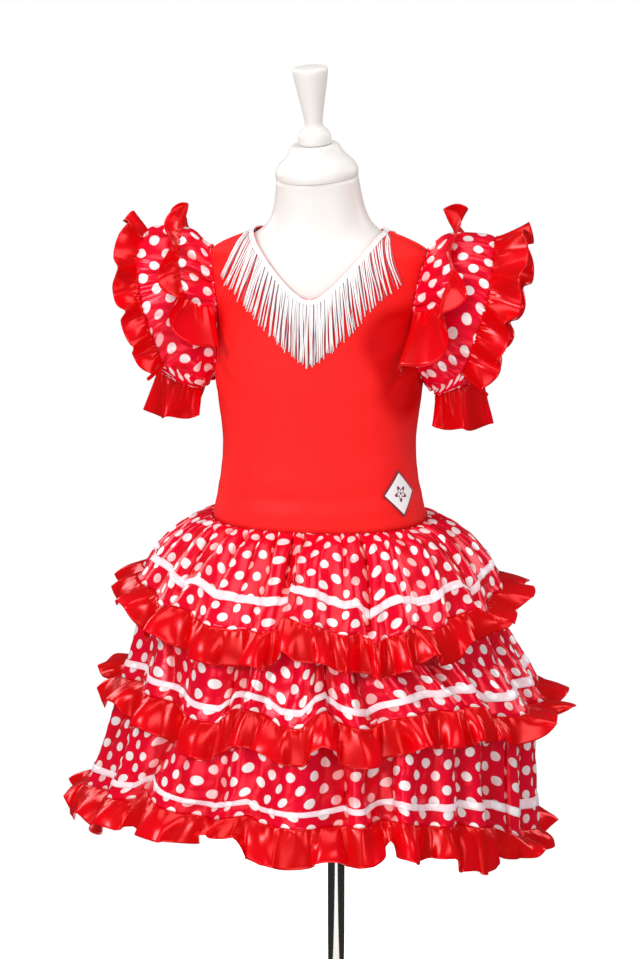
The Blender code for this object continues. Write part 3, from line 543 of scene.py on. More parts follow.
def bodyPoint(turn, height):
    turn, height = np.broadcast_arrays(np.asarray(turn, float), np.asarray(height, float))
    half, front, back = bodySize(height)
    sine, cosine = sineCosine(turn)
    x = half * signedPower(sine, 2 / torso["power"])
    y = -np.where(cosine > 0, front, back) * signedPower(cosine, 2 / torso["power"])
    tilt = np.clip((height - torso["leanFrom"]) / torso["tiltOver"], 0, 1)
    z = height - tilt * (x * torso["leanAcross"] + y * torso["leanForward"])
    return torsoAxis(height) + np.stack([x, y, z], -1)


def bodyNormal(turn, height):
    across = bodyPoint(turn + 0.5, height) - bodyPoint(turn - 0.5, height)
    return unit(np.cross(across, bodyPoint(turn, height + 0.5) - bodyPoint(turn, height - 0.5)))


def bodiceLift(height):
    ease = np.clip((height - torso["vBottom"]) / (torso["neck"] - torso["vBottom"]), 0, 1)
    return torso["clearance"] + torso["satin"] + torso["neckEase"] * ease


def overBodice(turn, height, out):
    # a point so far off the bodice's outer side
    return bodyPoint(turn, height) + bodyNormal(turn, height) * (bodiceLift(height) + out)[..., None]


def turnAtReach(height, reach):
    share = np.clip(reach / bodySize(height)[0], 0, 1)
    return np.degrees(np.arcsin(share ** (torso["power"] / 2)))


def turnAtDepth(height, depth, isFront):
    share = np.clip(depth / bodySize(height)[1 if isFront else 2], 0, 1)
    return np.degrees(np.arccos(share ** (torso["power"] / 2)))


armholeMiddle = (torso["shoulder"] + torso["underarm"]) / 2
armholeHalf = (torso["shoulder"] - torso["underarm"]) / 2


def armholeDepth(height):
    rise = (height - armholeMiddle) / armholeHalf
    return torso["armholeDepth"] * np.sqrt(np.maximum(1 - rise * rise, 0))


def neckReachAt(height, isFront):
    # half width of the neck opening: a V with a rounded point in front, a shallow curve behind
    bottom = torso["vBottom"] if isFront else torso["backNeck"]
    share = np.maximum((height - bottom) / (torso["neck"] - bottom), 0)
    soft = torso["neckRound"]
    vee = np.sqrt((share * (math.hypot(1, soft) - soft) + soft) ** 2 - soft ** 2)
    return torso["neckReach"] * (vee if isFront else np.sqrt(share))


def neckRiseAt(across):
    soft = torso["neckRound"]
    return (np.hypot(across, soft) - soft) / (math.hypot(1, soft) - soft)


# bodice

bodice = {
    # rows up to the armhole, the neck, the shoulder and the top
    "columns": 34, "rows": (30, 30, 18, 12), "thick": 0.9, "sideTurn": 89.9, "top": 940.5,
    "perDegree": 1.75,  # millimetres of cloth in a degree of turn
    "flat": (0.36, 0.32), "cutShare": 0.72,  # metres, and how much of that oblong is cloth
    # painted shade beside the sleeve and down the sides, on a panel's left and right as one faces it
    "shadow": (0.12, 0.42), "shadowWide": 24.0, "flankShade": (0.12, 0.42), "waistShade": 0.25,
    "creaseShade": 0.10, "shadowFrom": 735.0, "shadowTo": 945.0,
    # soft creases: turn and height of the middle, half length, half width, depth, slant in degrees
    "frontCreases": tableOf(
        "turn height long wide depth slant",
        (60, 806, 42, 7, -2.3, 38), (54, 832, 38, 9, 2.0, 28), (-58, 800, 44, 7, -2.3, -34),
        (-50, 830, 38, 9, 2.0, -26), (50, 862, 26, 8, -1.4, 12), (-48, 866, 26, 8, -1.4, -10),
        (64, 780, 30, 6, 1.4, 44), (-63, 776, 30, 6, 1.4, -42), (70, 770, 26, 6, -0.9, 20),
        (-68, 764, 28, 6, -0.9, -18), (40, 700, 46, 9, 0.8, 12), (-36, 690, 50, 9, 0.8, -9),
        (12, 652, 60, 7, 0.7, 4), (-14, 668, 44, 6, -0.7, -6), (48, 655, 40, 6, -0.8, 14),
        (-50, 650, 38, 6, -0.8, -10), (30, 868, 26, 8, 0.8, 55), (-33, 872, 24, 8, 0.8, -52),
        (74, 660, 30, 7, 0.9, -12), (-75, 672, 30, 7, 0.9, 10), (-12, 654, 88, 6, 1.3, 2),
        (-9, 669, 80, 7, -1.1, 3), (34, 662, 50, 6, 0.9, -5), (-62, 846, 16, 5, 1.2, 8),
    ),
    # painted shade where the front lies deeper in shade beside the sleeves
    "shades": tableOf(
        "turn height wide tall dark",
        (48, 838, 23, 33, 1.3), (60, 793, 22, 38, 1.25), (-66, 848, 15, 24, 1.0),
        (54, 700, 24, 95, 0.20), (-5, 672, 78, 10, 0.14),
    ),
    "backCreases": tableOf(
        "turn height long wide depth slant",
        (122, 812, 40, 8, -2.2, -30), (128, 842, 36, 9, 1.9, -24), (238, 806, 40, 8, -2.2, 30),
        (231, 840, 36, 9, 1.9, 26), (132, 868, 24, 8, -1.2, -10), (229, 866, 24, 8, -1.2, 12),
        (180, 700, 56, 8, -0.9, 3), (165, 660, 50, 7, 0.8, -4), (196, 676, 44, 7, 0.8, 6),
        (140, 690, 40, 8, 0.8, -10), (218, 664, 40, 7, -0.8, 8), (181, 880, 30, 7, -0.7, 0),
        (112, 665, 30, 7, 0.9, 10), (250, 655, 30, 6, -0.9, -9),
    ),
}


def bodiceRelief(turn, height, creases):
    perDegree = bodice["perDegree"]
    total = 0.35 * unevenness(turn * 1.7, height, 60, 3) + 0.18 * unevenness(turn * 1.7, height, 22, 4)
    for middle, at, long, wide, depth, slant in zip(*creases.values()):
        sine, cosine = sineCosine(slant)
        x, y = (turn - middle) * perDegree, height - at
        along, off = x * cosine + y * sine, y * cosine - x * sine
        total = total + depth * np.exp(-(along / long) ** 2 - (off / wide) ** 2)
    return total


def bodiceShade(angles, turns, end, height, relief, isFront, sleeveShadow, flankShade):
    # painted shade: darker beside the sleeves, on the flanks, in the listed patches, in creases and just
    # above the waist seam
    look = bodice
    low, high = look["shadowFrom"], look["shadowTo"]
    sleeveShadowBand = sleeveShadow * fadeIn((height - low) / 50) * fadeIn((high - height) / 40)
    paintedShade = sleeveShadowBand * np.exp(-(end - turns) * look["perDegree"] / look["shadowWide"])
    paintedShade = paintedShade + flankShade * fadeIn((turns - 50) / 45)
    if isFront:
        for turn, at, wide, tall, more in zip(*look["shades"].values()):
            off = ((angles - turn) / wide) ** 2 + ((height - at) / tall) ** 2
            paintedShade = paintedShade + more * np.exp(-off ** 1.5)
    return (paintedShade + look["creaseShade"] * np.maximum(-relief, 0)
            + look["waistShade"] * fadeIn((torso["waist"] + 9 - height) / 8))


def bodicePanel(name, isFront):
    look = bodice
    low, top = torso["underarm"], torso["shoulder"]
    notch = torso["vBottom"] if isFront else torso["backNeck"]
    split = math.asin((notch - armholeMiddle) / armholeHalf)
    toArmhole, toNotch, toShoulder, toNeck = look["rows"]
    heights = np.concatenate([
        np.linspace(torso["waist"], low, toArmhole)[:-1],
        armholeMiddle + armholeHalf * np.sin(np.linspace(-math.pi / 2, split, toNotch)[:-1]),
        armholeMiddle + armholeHalf * np.sin(np.linspace(split, math.pi / 2, toShoulder)[:-1]),
        np.linspace(top, look["top"], toNeck),
    ])
    neckRow = toArmhole + toNotch - 2
    columns, sign = look["columns"], 1 if isFront else -1
    points, uvs, shades, index, faces = [], [], [], {}, []
    creases = look["frontCreases" if isFront else "backCreases"]
    for i, height in enumerate(heights):
        start = float(turnAtReach(height, neckReachAt(height, isFront)))
        end = look["sideTurn"]
        if low < height < top:
            end = float(turnAtDepth(height, armholeDepth(height), isFront))
        turns = np.linspace(start, end, columns + 1)
        for side in (-1, 1):
            angles = side * turns if isFront else 180 - side * turns
            relief = bodiceRelief(angles, height, creases) * fadeIn((height - torso["waist"]) / 12)
            relief = relief * fadeIn((turns - start) / 6) * fadeIn((end - turns) / 5)
            sleeveShadow, flankShade = [look[key][0 if side * sign < 0 else 1] for key in ("shadow", "flankShade")]
            paintedShade = bodiceShade(angles, turns, end, height, relief, isFront, sleeveShadow, flankShade)
            row = overBodice(angles, np.full(columns + 1, height), relief - look["thick"] / 2)
            for j in range(columns + 1):
                if j == 0 and side == 1 and i <= neckRow:
                    # below the neck both halves share their middle column
                    index[i, 1, 0] = index[i, -1, 0]
                    continue
                index[i, side, j] = len(points)
                points.append(row[j])
                shades.append(paintedShade[j])
                uvs.append((angles[j] * look["perDegree"], height))
    for i in range(len(heights) - 1):
        for side in (-1, 1):
            for j in range(columns):
                ring = [(i, side, j), (i, side, j + 1), (i + 1, side, j + 1), (i + 1, side, j)]
                ring = [index[key] for key in ring]
                faces.append(ring if side * sign == 1 else ring[::-1])
    made = bareMesh(name, points, faces, [uvs[k] for face in faces for k in face])
    keepShade(made, np.array(shades))
    thicken(made, look["thick"])
    dress(made, crepe, "bodice_crepe", "bodice_front" if isFront else "bodice_back")
    wide, long = look["flat"]
    wide * long * look["cutShare"]
    return made


# neck fringe

fringe = {
    "front": 150, "back": 92, "inset": 0.4, "lift": 0.9, "long": 68.0, "endLong": 47.0, "backLong": 62.0,
    "slant": (27.0, 19.0), "backSlant": 14.0, "slantPower": 1.6, "thread": 0.80, "rings": 9,
    "strandLift": 1.3,
    "rootDrop": 2.6, "sideGap": 16.0, "uneven": (-4.5, 1.0), "shadowStrandEvery": 4,
    "rows": ((0.0, 1.0, 0.9), (1.4, 1.1, 0.8), (2.7, 1.1, 0.75), (3.9, 1.1, 0.8)),  # drop, lift and radius
    # parts of the neckline, closer where it turns: from, to and points
    "runs": ((0, 0.03, 24), (0.03, 0.47, 90), (0.47, 0.53, 48), (0.53, 0.97, 80), (0.97, 1, 24)),
}


def neckline(share):
    isFront = share < 0.5
    across = np.where(isFront, 1 - 4 * share, 4 * share - 3)
    bottom = np.where(isFront, torso["vBottom"], torso["backNeck"])
    rise = np.where(isFront, neckRiseAt(across), across * across)
    height = bottom + (torso["neck"] - bottom) * rise - fringe["inset"]
    reach = np.abs(across) * (torso["neckReach"] + 1.0)
    turn = np.sign(across) * turnAtReach(height, reach)
    return np.where(isFront, turn, 180 - turn), height


def strandLine(root, aside, length, isFront, chance):
    # centres and normals down one strand, from a root measured from the torso's middle line
    look = fringe
    most = look["slant"][0 if aside < 0 else 1] if isFront else look["backSlant"]
    slant = math.radians(most * abs(aside) ** look["slantPower"])
    shares = np.linspace(0, 1, look["rings"])
    sway = chance.uniform(-1.1, 1.1) * shares ** 1.5 * 2.2
    sway = sway + chance.uniform(-0.5, 0.5) * np.sin(shares * 7 + chance.uniform(0, 6))
    height = root[2] - shares * length * math.cos(slant)
    across = root[0] + math.copysign(1, aside) * shares * length * math.sin(slant) + sway
    turn = np.copysign(turnAtReach(height, np.abs(across)), across)
    turn = turn if isFront else 180 - turn
    lift = mix(look["lift"], look["strandLift"] + chance.uniform(0, 0.9), fadeIn(shares * 4)) + 0.6 * shares
    return overBodice(turn, height, lift), bodyNormal(turn, height)


def neckFringe():
    look = fringe
    chance = np.random.default_rng(12)
    points, faces, corners, shades = [], [], [], []

    def tube(centres, normals, radius, sides, strandShade=0.0):
        first, rings = len(points), len(centres)
        shades.extend([strandShade] * (rings * sides))
        along = unit(np.gradient(centres, axis=0))
        aside = unit(np.cross(along, normals))
        lengths = lengthsAlong(centres)
        for centre, normal, side, reach in zip(centres, normals, aside, radius):
            for k in range(sides):
                turn = math.tau * (k + 0.5) / sides
                points.append(centre + (side * math.cos(turn) + normal * math.sin(turn)) * reach)
        for i in range(rings - 1):
            for k in range(sides):
                a, b = first + i * sides + k, first + i * sides + (k + 1) % sides
                faces.append((a, b, b + sides, a + sides))
                start, end = lengths[i], lengths[i + 1]
                corners.extend([(k, start), (k + 1, start), (k + 1, end), (k, end)])
        faces.append([first + k for k in range(sides)][::-1])
        faces.append([first + (rings - 1) * sides + k for k in range(sides)])
        corners.extend([(0, 0)] * (2 * sides))

    axis = torsoAxis(0.0)
    for isFront, count in ((True, look["front"]), (False, look["back"])):
        for k in range(count):
            share = (k + 0.5) / count * 0.5 + (0 if isFront else 0.5)
            turn, height = neckline(np.array(share))
            aside = (0.25 - share) / 0.25 if isFront else (share - 0.75) / 0.25
            root = overBodice(turn, height - look["rootDrop"], np.array(look["lift"])) - axis
            if abs(root[1]) < look["sideGap"]:
                continue
            length = mix(look["long"], look["endLong"], abs(aside)) if isFront else look["backLong"]
            length += chance.uniform(*look["uneven"])
            centres, normals = strandLine(root, aside, length, isFront, chance)
            # painted shadow: about every fourth strand is made dark and thinner, standing for the shadow
            # between strands
            isShadowStrand = k % look["shadowStrandEvery"] == 1 and chance.uniform() < 0.85
            strandShade = chance.uniform(0.8, 1.0) if isShadowStrand else 0.12 * chance.uniform()
            thread = look["thread"] * chance.uniform(0.85, 1.1) * (1.06 - 0.5 * strandShade)
            tube(centres, normals, np.linspace(thread * 1.1, thread * 0.9, look["rings"]), 4, strandShade)
    shares = np.concatenate([np.linspace(start, end, count)[:-1] for start, end, count in look["runs"]])
    turns, heights = neckline(shares)
    for drop, lift, reach in look["rows"]:
        line = overBodice(turns, heights, np.full(len(shares), lift))
        normals = bodyNormal(turns, heights)
        along = unit(np.roll(line, -1, 0) - np.roll(line, 1, 0))
        line = line + unit(np.cross(normals, along)) * drop
        closed, facing = np.concatenate([line, line[:1]]), np.concatenate([normals, normals[:1]])
        tube(closed, facing, [reach] * len(closed), 5)
    made = bareMesh("neckFringe", points, faces, corners)
    keepShade(made, np.array(shades))
    return dress(made, yarn, "white_fringe", "neck_fringe")


neckFringe()
bodicePanel("bodiceFront", True)
bodicePanel("bodiceBack", False)
print("bodice and fringe made")


# patch at the waist

patch = {"turn": 57.0, "height": 672.0, "halfWide": 20.5, "halfHigh": 25.0, "cells": 24, "lift": 1.0,
         "thick": 0.9, "flat": (0.033, 0.033)}


def waistPatch():
    look = patch
    turn, height = look["turn"], look["height"]
    middle, aDegreeOn = bodyPoint(np.array([turn, turn + 1.0]), height)
    shares = np.linspace(0, 1, look["cells"] + 1)
    a, b = np.meshgrid(shares, shares, indexing="ij")
    turns = turn + (b - a) * look["halfWide"] / np.linalg.norm(aDegreeOn - middle)
    heights = height + (a + b - 1) * look["halfHigh"]
    pillow = 0.5 * (1 - np.maximum(np.abs(2 * a - 1), np.abs(2 * b - 1)) ** 6)
    grid = overBodice(turns, heights, look["lift"] + pillow)
    made = clothMesh("waistPatch", grid, flatGrid(a, b) / mm, False, look["thick"])
    dress(made, patchLook, "white_patch", "waist_patch")
    return made


waistPatch()


# skirt

levelColumns = "height right left front back sideTip frontTip backTip power fold own"
foldColumns = "width reach tuck lean"
skirt = {
    # places round the skirt are counted in columns, five to each fold of the tables, as in the solids
    "columns": 100, "perFold": 5, "seamFront": 48, "seamBack": 93, "tucked": 0.88, "tuckedDepth": 2.4,
    "step": 1.6, "rows": 34, "thick": 0.8,
    "tapeWide": 9.4, "tapeRows": 7, "tapeThick": 0.5, "tapes": (0.27, 0.66, 0.60),
    "tuckWide": (25.0, 30.0, 32.0), "keepFull": 0.10, "crest": 2.0, "relief": (0.5, 0.7, 0.7),
    "pleatHalf": 20.0, "pleatDeep": 0.75,
    # runs of cloth between pleats, as angle and rise of the ribbon in millimetres, all the way round
    "drape": (
        (((-79, -1), (-48, -10)), ((-44, -6), (-20, -15), (-6, -10)),
         ((-3, 5), (7, -1), (11, -9), (21, -13)),
         ((24, -20), (30, -18), (36, -10), (44, -16), (64, -5)), ((69, -17), (95, -2), (118, -10)),
         ((123, -1), (150, -14)), ((155, -5), (180, -15), (196, -8)), ((201, -18), (228, -4)),
         ((233, -14), (262, -3), (277, -8))),
        (((-78, 1), (-56, 5), (-40, -3), (-31, -9), (-22, -12)),
         ((-18, 3), (-12, 9), (-8, 3), (-3, -6), (3, -4), (7, 10), (10, 13)),
         ((13, 1), (22, -4)), ((26, 2), (32, 10), (39, 13), (56, 15)),
         ((61, -1), (74, 0), (94, -2), (112, 7)),
         ((117, -5), (140, 6), (152, -4)), ((157, 5), (182, -8), (199, 4)), ((204, -6), (230, 8)),
         ((235, -3), (262, 6), (277, -4))),
        (((-79, -7), (-66, -9), (-50, -4)),
         ((-45, 10), (-38, 3), (-31, -2), (-22, -5), (-17, 3), (-12, 6), (-8, 0), (8, 4), (12, 6)),
         ((16, 9), (25, 13)), ((30, 19), (37, 12), (48, 15), (62, 8)), ((70, -3), (94, -6), (116, 2)),
         ((121, 12), (146, 0)), ((151, 9), (178, -6), (192, 5)), ((197, -5), (226, 9)),
         ((231, 0), (258, -8), (276, -5))),
    ),
    "levels": (
        tableOf(levelColumns, (634.5, 115.9, 115.9, 82.9, 81.9, 0, 0, 0, 2.3, 0.02, 1),
                (627, 147, 141, 113, 110, -1, 0, 0, 2.15, 0.28, 1),
                (604, 178, 170, 154, 150, -3, -2, 0, 2, 0.60, 1),
                (572, 194, 191, 197, 190, -4, -4, 0, 2, 1.00, 1)),
        tableOf(levelColumns, (569, 1, 1, 1, 1, 0, 0, 0, 2, 0, 0),
                (508, 200, 194, 198, 194, -3, 6, 0, 2, 0.95, 0.60),
                (446, 239, 209, 213, 214, -9, 22, -8, 2, 1.00, 1)),
        tableOf(levelColumns, (442, 1, 1, 1, 1, 0, 0, 0, 2, 0, 0),
                (384, 232, 229, 219, 222, -10, 14, -6, 2, 0.95, 0.60),
                (316, 234, 249, 222, 232, -20, 40, -14, 2, 1.00, 1)),
    ),
    "starts": (-61.0, -61.0, -64.0),
    "folds": (
        tableOf(foldColumns,
                (21.5, 9, 12, 4), (23.5, 12, 12, 0), (13.0, 12, 10, 5), (14.0, 6, 13, 0),
                (9.0, 6, 8, 0), (9.4, 13, 10, -3), (9.6, 6, 9, 0), (16.0, 8, 8, 0), (25.0, 13, 13, -5),
                (18.0, 9, 12, 0), (22.0, 12, 10, 4), (16.0, 8, 12, 0), (21.0, 12, 12, -4),
                (19.0, 9, 10, 0), (24.0, 13, 12, 5), (15.0, 7, 11, 0), (20.0, 11, 12, -3),
                (23.0, 12, 10, 0), (18.0, 9, 12, 3), (23.0, 12, 11, 0)),
        tableOf(foldColumns,
                (21.0, 8, 10, 3), (23.0, 11, 11, 0), (9.0, 3, 12, 0), (19.0, 13, 7, 4),
                (12.5, 8, 12, -3), (14.5, 6, 10, 0), (9.0, 4, 6, 0), (9.0, 5, 6, 0), (25.0, 14, 11, -5),
                (18.0, 10, 12, 0), (20.0, 12, 10, 3), (18.0, 8, 12, 0), (20.0, 12, 10, -3),
                (19.0, 9, 12, 0), (22.0, 13, 10, 4), (17.0, 8, 12, 0), (20.0, 11, 11, -3),
                (22.0, 12, 11, 0), (19.0, 9, 12, 3), (23.0, 10, 10, 0)),
        tableOf(foldColumns,
                (20.0, 12, 12, 4), (22.5, 12, 12, 0), (11.5, 5, 9, 0), (21.6, 12, 9, 4),
                (12.4, 8, 9, 0), (13.0, 9, 24, -2), (10.0, 7, 8, 0), (11.0, 10, 7, 0),
                (21.0, 14, 12, -5), (20.0, 10, 12, 0), (20.0, 12, 10, 3), (18.0, 9, 12, 0),
                (20.0, 12, 12, -4), (19.0, 9, 12, 0), (22.0, 13, 10, 4), (17.0, 8, 12, 0),
                (20.0, 12, 10, -3), (22.0, 11, 12, 0), (19.0, 9, 12, 3), (20.0, 12, 10, 0)),
    ),
}
hemRuffle = {
    "wide": 39.0, "rows": 16, "thick": 0.8, "waves": 25, "least": 8.0, "creaseFill": 0.5,
    "commonFold": 18.0, "curl": 2.5, "wave": (12.0, 12.0, 11.0), "fullness": 1.45, "steepest": 0.88,
    # how far out and up the ruffle's edge is turned, by angle round the skirt from the middle of the front
    "flare": (
        tableOf("angle out lift", (-90, 33, 4), (-70, 31, 6), (-52, 21, 3), (-30, 15, 0), (0, 15, 0),
                (30, 14, 0), (50, 19, 2), (66, 32, 12), (84, 35, 16), (104, 32, 10), (125, 25, 2),
                (150, 19, 0), (180, 18, 0), (215, 18, 0), (245, 17, 0), (262, 27, 2)),
        tableOf("angle out lift", (-90, 33, 12), (-74, 28, 0), (-48, 17, 0), (-20, 14, 0), (10, 15, 0),
                (38, 15, 0), (58, 23, 5), (70, 28, 14), (80, 30, 17), (98, 29, 13), (125, 24, 2),
                (155, 19, 0), (180, 19, 0), (210, 18, 0), (238, 24, 0), (254, 33, 16)),
        tableOf("angle out lift", (-90, 25, 4), (-68, 22, 0), (-52, 20, -3), (-40, 20, -3),
                (-31, 22, 2), (-22, 28, 12), (-12.5, 28, 15), (-10.5, 13, -5), (0, 10, -4), (6, 10, 0),
                (12, 11, -3), (20, 12, -4), (22.5, 11, 4), (25, 10, 18), (27.5, 10, 2), (33, 11, 0),
                (36, 11, 8), (40.5, 11, 8), (43.5, 10, -9), (50, 9, -11), (57, 11, -9), (61.5, 15, 10),
                (76, 14, 14), (94, 14, 12), (115, 22, 3), (140, 19, 0), (180, 16, 0), (230, 19, 0),
                (252, 24, 6)),
    ),
    "sizes": np.array([1.0, 0.40, 1.05, 0.55, 0.95, 0.30, 1.1, 0.65]),
}


def wavePhase(place):
    return math.tau * place + math.pi / 4


def waveOut(place):
    # a ruffle's wave, counted in waves, its size changes where it crosses zero
    sizes = hemRuffle["sizes"]
    return sizes[np.floor(place - 0.125).astype(int) % len(sizes)] * np.cos(wavePhase(place))


def waveShade(phase, shares, deep, seamPaintedShade):
    # painted shade, darker in a ruffle's hollows and at its seam
    return 0.5 - deep * np.cos(phase)[None, :] * shares + seamPaintedShade * (1 - shares)


def foldAt(tier, column):
    folds = skirt["folds"][tier]
    turn = np.asarray(column, float) / skirt["perFold"]
    count = len(folds["width"])
    whole, index = np.floor(turn / count), np.floor(turn).astype(int) % count
    share = turn - np.floor(turn)
    place = np.concatenate([[0], np.cumsum(folds["width"])])[index] + folds["width"][index] * share
    swell = (1 - np.cos(math.tau * share)) / 2
    crease = mix(folds["tuck"][index], folds["tuck"][(index + 1) % count], share)
    relief = skirt["relief"][tier]
    return {
        "angle": skirt["starts"][tier] + 360 * (place / folds["width"].sum() + whole),
        "reach": (folds["reach"][index] * swell - crease * (1 - swell)) * relief + 2.0 * (1 - relief),
        "lean": folds["lean"][index] * swell * relief,
        "width": folds["width"][index],
    }


def drapeTable(tier):
    runs = skirt["drape"][tier]
    points = np.array([point for run in runs for point in run], float)
    ends = [(run[-1][0] + after[0][0]) / 2 for run, after in zip(runs, runs[1:])]
    ends.append((runs[-1][-1][0] + runs[0][0][0] + 360) / 2)
    return points[:, 0], points[:, 1], np.array(ends)


def turnRound(points):
    # angle round the skirt from the middle of the front
    centre = torsoAxis(0.0)
    return np.arctan2(points[..., 0] - centre[0], centre[1] - points[..., 1])


def drapeRise(tier, points):
    # how far the hanging cloth is lifted or let down at places round the skirt
    angles, rises, _ = drapeTable(tier)
    turn = (np.degrees(turnRound(points)) - angles[0]) % 360 + angles[0]
    return np.interp(turn, np.append(angles, angles[0] + 360), np.append(rises, rises[0]))


def levelPoint(tier, number, fold):
    level = {key: column[number] for key, column in skirt["levels"][tier].items()}
    sine, cosine = sineCosine(fold["angle"])
    across = np.where(sine > 0, level["right"], level["left"])
    deep = np.where(cosine > 0, level["front"], level["back"])
    power = 2 / level["power"]
    flat = 0 * sine
    slope = [signedPower(sine, 2 - power) / across, -signedPower(cosine, 2 - power) / deep, flat]
    outward = unit(np.stack(slope, -1))
    along = np.stack([-outward[..., 1], outward[..., 0], flat], -1)
    endTip = np.where(cosine > 0, level["frontTip"], level["backTip"])
    rise = level["height"] + level["sideTip"] * sine + endTip * np.abs(cosine)
    point = [across * signedPower(sine, power), -deep * signedPower(cosine, power), rise]
    move = outward * fold["reach"][..., None] + along * fold["lean"][..., None]
    return np.stack(point, -1) + torsoAxis(0.0) + move * level["fold"]


def tierLevel(tier, number, column):
    column = np.asarray(column, float)
    if tier and number == 0:
        return innerTop(tier, column)
    fold = foldAt(tier, column)
    own = skirt["levels"][tier]["own"][number]
    if own < 1:
        upper = foldAt(tier - 1, column)
        fold = {key: mix(upper[key], fold[key], own) for key in fold}
    return levelPoint(tier, number, fold)


def bandPoint(tier, column, share):
    last = len(skirt["levels"][tier]["height"]) - 1
    return mix(tierLevel(tier, last - 1, column), tierLevel(tier, last, column), share)


def innerTop(tier, column):
    # inside the last band of the tier above, clear of its wall
    here, lower = bandPoint(tier - 1, column, skirt["tucked"]), bandPoint(tier - 1, column, 1.0)
    ahead, behind = (bandPoint(tier - 1, column + step, skirt["tucked"]) for step in (1, -1))
    return here - unit(np.cross(ahead - behind, here - lower)) * skirt["tuckedDepth"]


def tierPlaces(tier):
    # how far down its cloth each level of a tier lies
    columns = np.arange(0, skirt["columns"], 0.5)
    count = len(skirt["levels"][tier]["height"])
    return lengthsAlong(np.stack([tierLevel(tier, number, columns) for number in range(count)])).mean(1)


def tierRow(tier, places, column, down):
    # one row of a tier's bare surface, down in millimetres from its top seam
    points = np.stack([tierLevel(tier, number, column) for number in range(len(places))])
    row = smoothThrough(places, points, down)
    own = fadeIn(down / (places[-2] + (places[-1] - places[-2]) * skirt["tapes"][tier]))
    rise = own * drapeRise(tier, row)
    if tier:
        rise = rise + (1 - own) * drapeRise(tier - 1, row)
    row[..., 2] += rise
    return row


def clothRun(tier, places):
    # the solid's columns and how far along the hem's cloth each is
    last, count = skirt["seamBack"], skirt["columns"]
    columns = np.linspace(last - count, last, 16 * count + 1)
    hem, higher = (tierRow(tier, places, columns, places[-1] * share) for share in (1.0, 0.8))
    along = lengthsAlong(mix(hem, higher, 0.5))
    return columns, along, float(np.interp(skirt["seamFront"], columns, along))


def pleatPlan(tier, places, columns, along, seam):
    # the few deep pleats, where one run of cloth stops and the next starts at another height
    turn = np.unwrap(turnRound(tierRow(tier, places, columns, places[-1]))) * 180 / math.pi
    found = [float(np.interp((end - turn[0]) % 360 + turn[0], turn, along)) for end in drapeTable(tier)[2]]
    edges, depths, half = [0.0], [], skirt["pleatHalf"]
    for place in sorted(found):
        if place - half < edges[-1] + 1 or place + half > along[-1] - 1 or abs(place - seam) < half + 1:
            continue
        edges += [place - half, place + half]
        depths += [0.0, skirt["pleatDeep"]]
    return np.array([*edges, float(along[-1])]), np.array([*depths, 0.0])


def tierCloth(tier):
    places = tierPlaces(tier)
    columns, along, seam = clothRun(tier, places)
    total, step = along[-1], skirt["step"]
    front = np.linspace(0, seam, round(seam / step) + 1)
    back = np.linspace(seam, total, round((total - seam) / step) + 1)
    drops = np.linspace(places[-1], 0, 25)
    rows = np.stack([tierRow(tier, places, columns, drop) for drop in drops])
    return {
        "tier": tier, "places": places, "columns": columns, "along": along, "seam": seam, "total": total,
        "drops": drops, "climb": lengthsAlong(rows), "length": places[-1], "front": front, "back": back,
        "round": np.concatenate([front[:-1], back[:-1]]),
        "plan": gatherPlan((0.0, seam, total), skirt["tuckWide"][tier], 20 + tier),
        "pleats": pleatPlan(tier, places, columns, along, seam),
    }


def fineTier(cloth, along, down):
    # rows of a tier's bare face, which way it faces, how far its gathers stand off it, and its painted shade
    tier, total, length = cloth["tier"], cloth["total"], cloth["length"]
    columns, places = cloth["columns"], cloth["places"]
    hemRound = lengthsAlong(tierRow(tier, places, columns, length))[-1]
    seams = np.array([0.0, cloth["seam"], total])
    nearSeam = fadeIn(np.min(np.abs(along[None, :] - seams[:, None]), axis=0) / 25)
    rows, facing, sinks, lows = [], [], [], []
    for drop in down:
        bare = tierRow(tier, places, columns, drop)
        below = tierRow(tier, places, columns, drop + 1.5)
        normal = unit(np.cross(np.gradient(bare, axis=0), bare - below))
        fullness = 1 + max(hemRound / lengthsAlong(bare)[-1] - 1, 0)
        fullness = fullness + skirt["keepFull"] * (1 - drop / length)
        moved, deep = drawIn(along, cloth["plan"], min(fullness, 2.0))
        sway = 5.5 * unevenness(along, drop * 0.7, 70, 140 + tier) * fadeIn(drop / 25)
        moved = np.clip(moved + sway * fadeIn((length - drop) / 25) * nearSeam, 0, total)
        moved, pleat = drawIn(moved, cloth["pleats"], 1 + 0.6 * fadeIn(drop / 45))
        column = np.interp(moved, cloth["along"], columns)
        rows.append(tierRow(tier, places, column, drop))
        facing.append(unit(np.stack([np.interp(column, columns, normal[:, k]) for k in range(3)], -1)))
        sinks.append(deep * fadeIn((drop + 1.5) / 12) + pleat * fadeIn(drop / 45))
        lows.append(1 - fadeIn((foldAt(tier, column)["reach"] + 7) / 16))
    sink, low = np.stack(sinks), np.stack(lows)
    share, drop = (along / total)[None, :], np.asarray(down, float)[:, None]
    up = length - drop
    small = 0.75 * gathers(share, 150, 30 + tier) * np.exp(-drop / 5)
    small = small + 0.6 * gathers(share, 120, 50 + tier) * np.exp(-up / 7)
    soft = 1.5 * unevenness(along[None, :], drop * 0.45, 46, 60 + tier)
    soft = soft + 0.55 * unevenness(along[None, :], drop, 17, 70 + tier)
    rise = skirt["crest"] * fadeIn(drop / 9) * np.exp(-drop / 30)
    detail = rise - sink + small + soft * fadeIn(drop / 10) * fadeIn((up + 4) / 14)
    return np.stack(rows), np.stack(facing), detail, 0.10 * sink + 0.30 * low - 0.12 * soft


def clothUp(cloth, along, down):
    # how far up the cloth from its hem each place is, row by row
    climb = np.stack([np.interp(along, cloth["along"], row) for row in cloth["climb"]])
    return np.stack([smoothThrough(cloth["drops"][::-1], climb[::-1], drop) for drop in down])


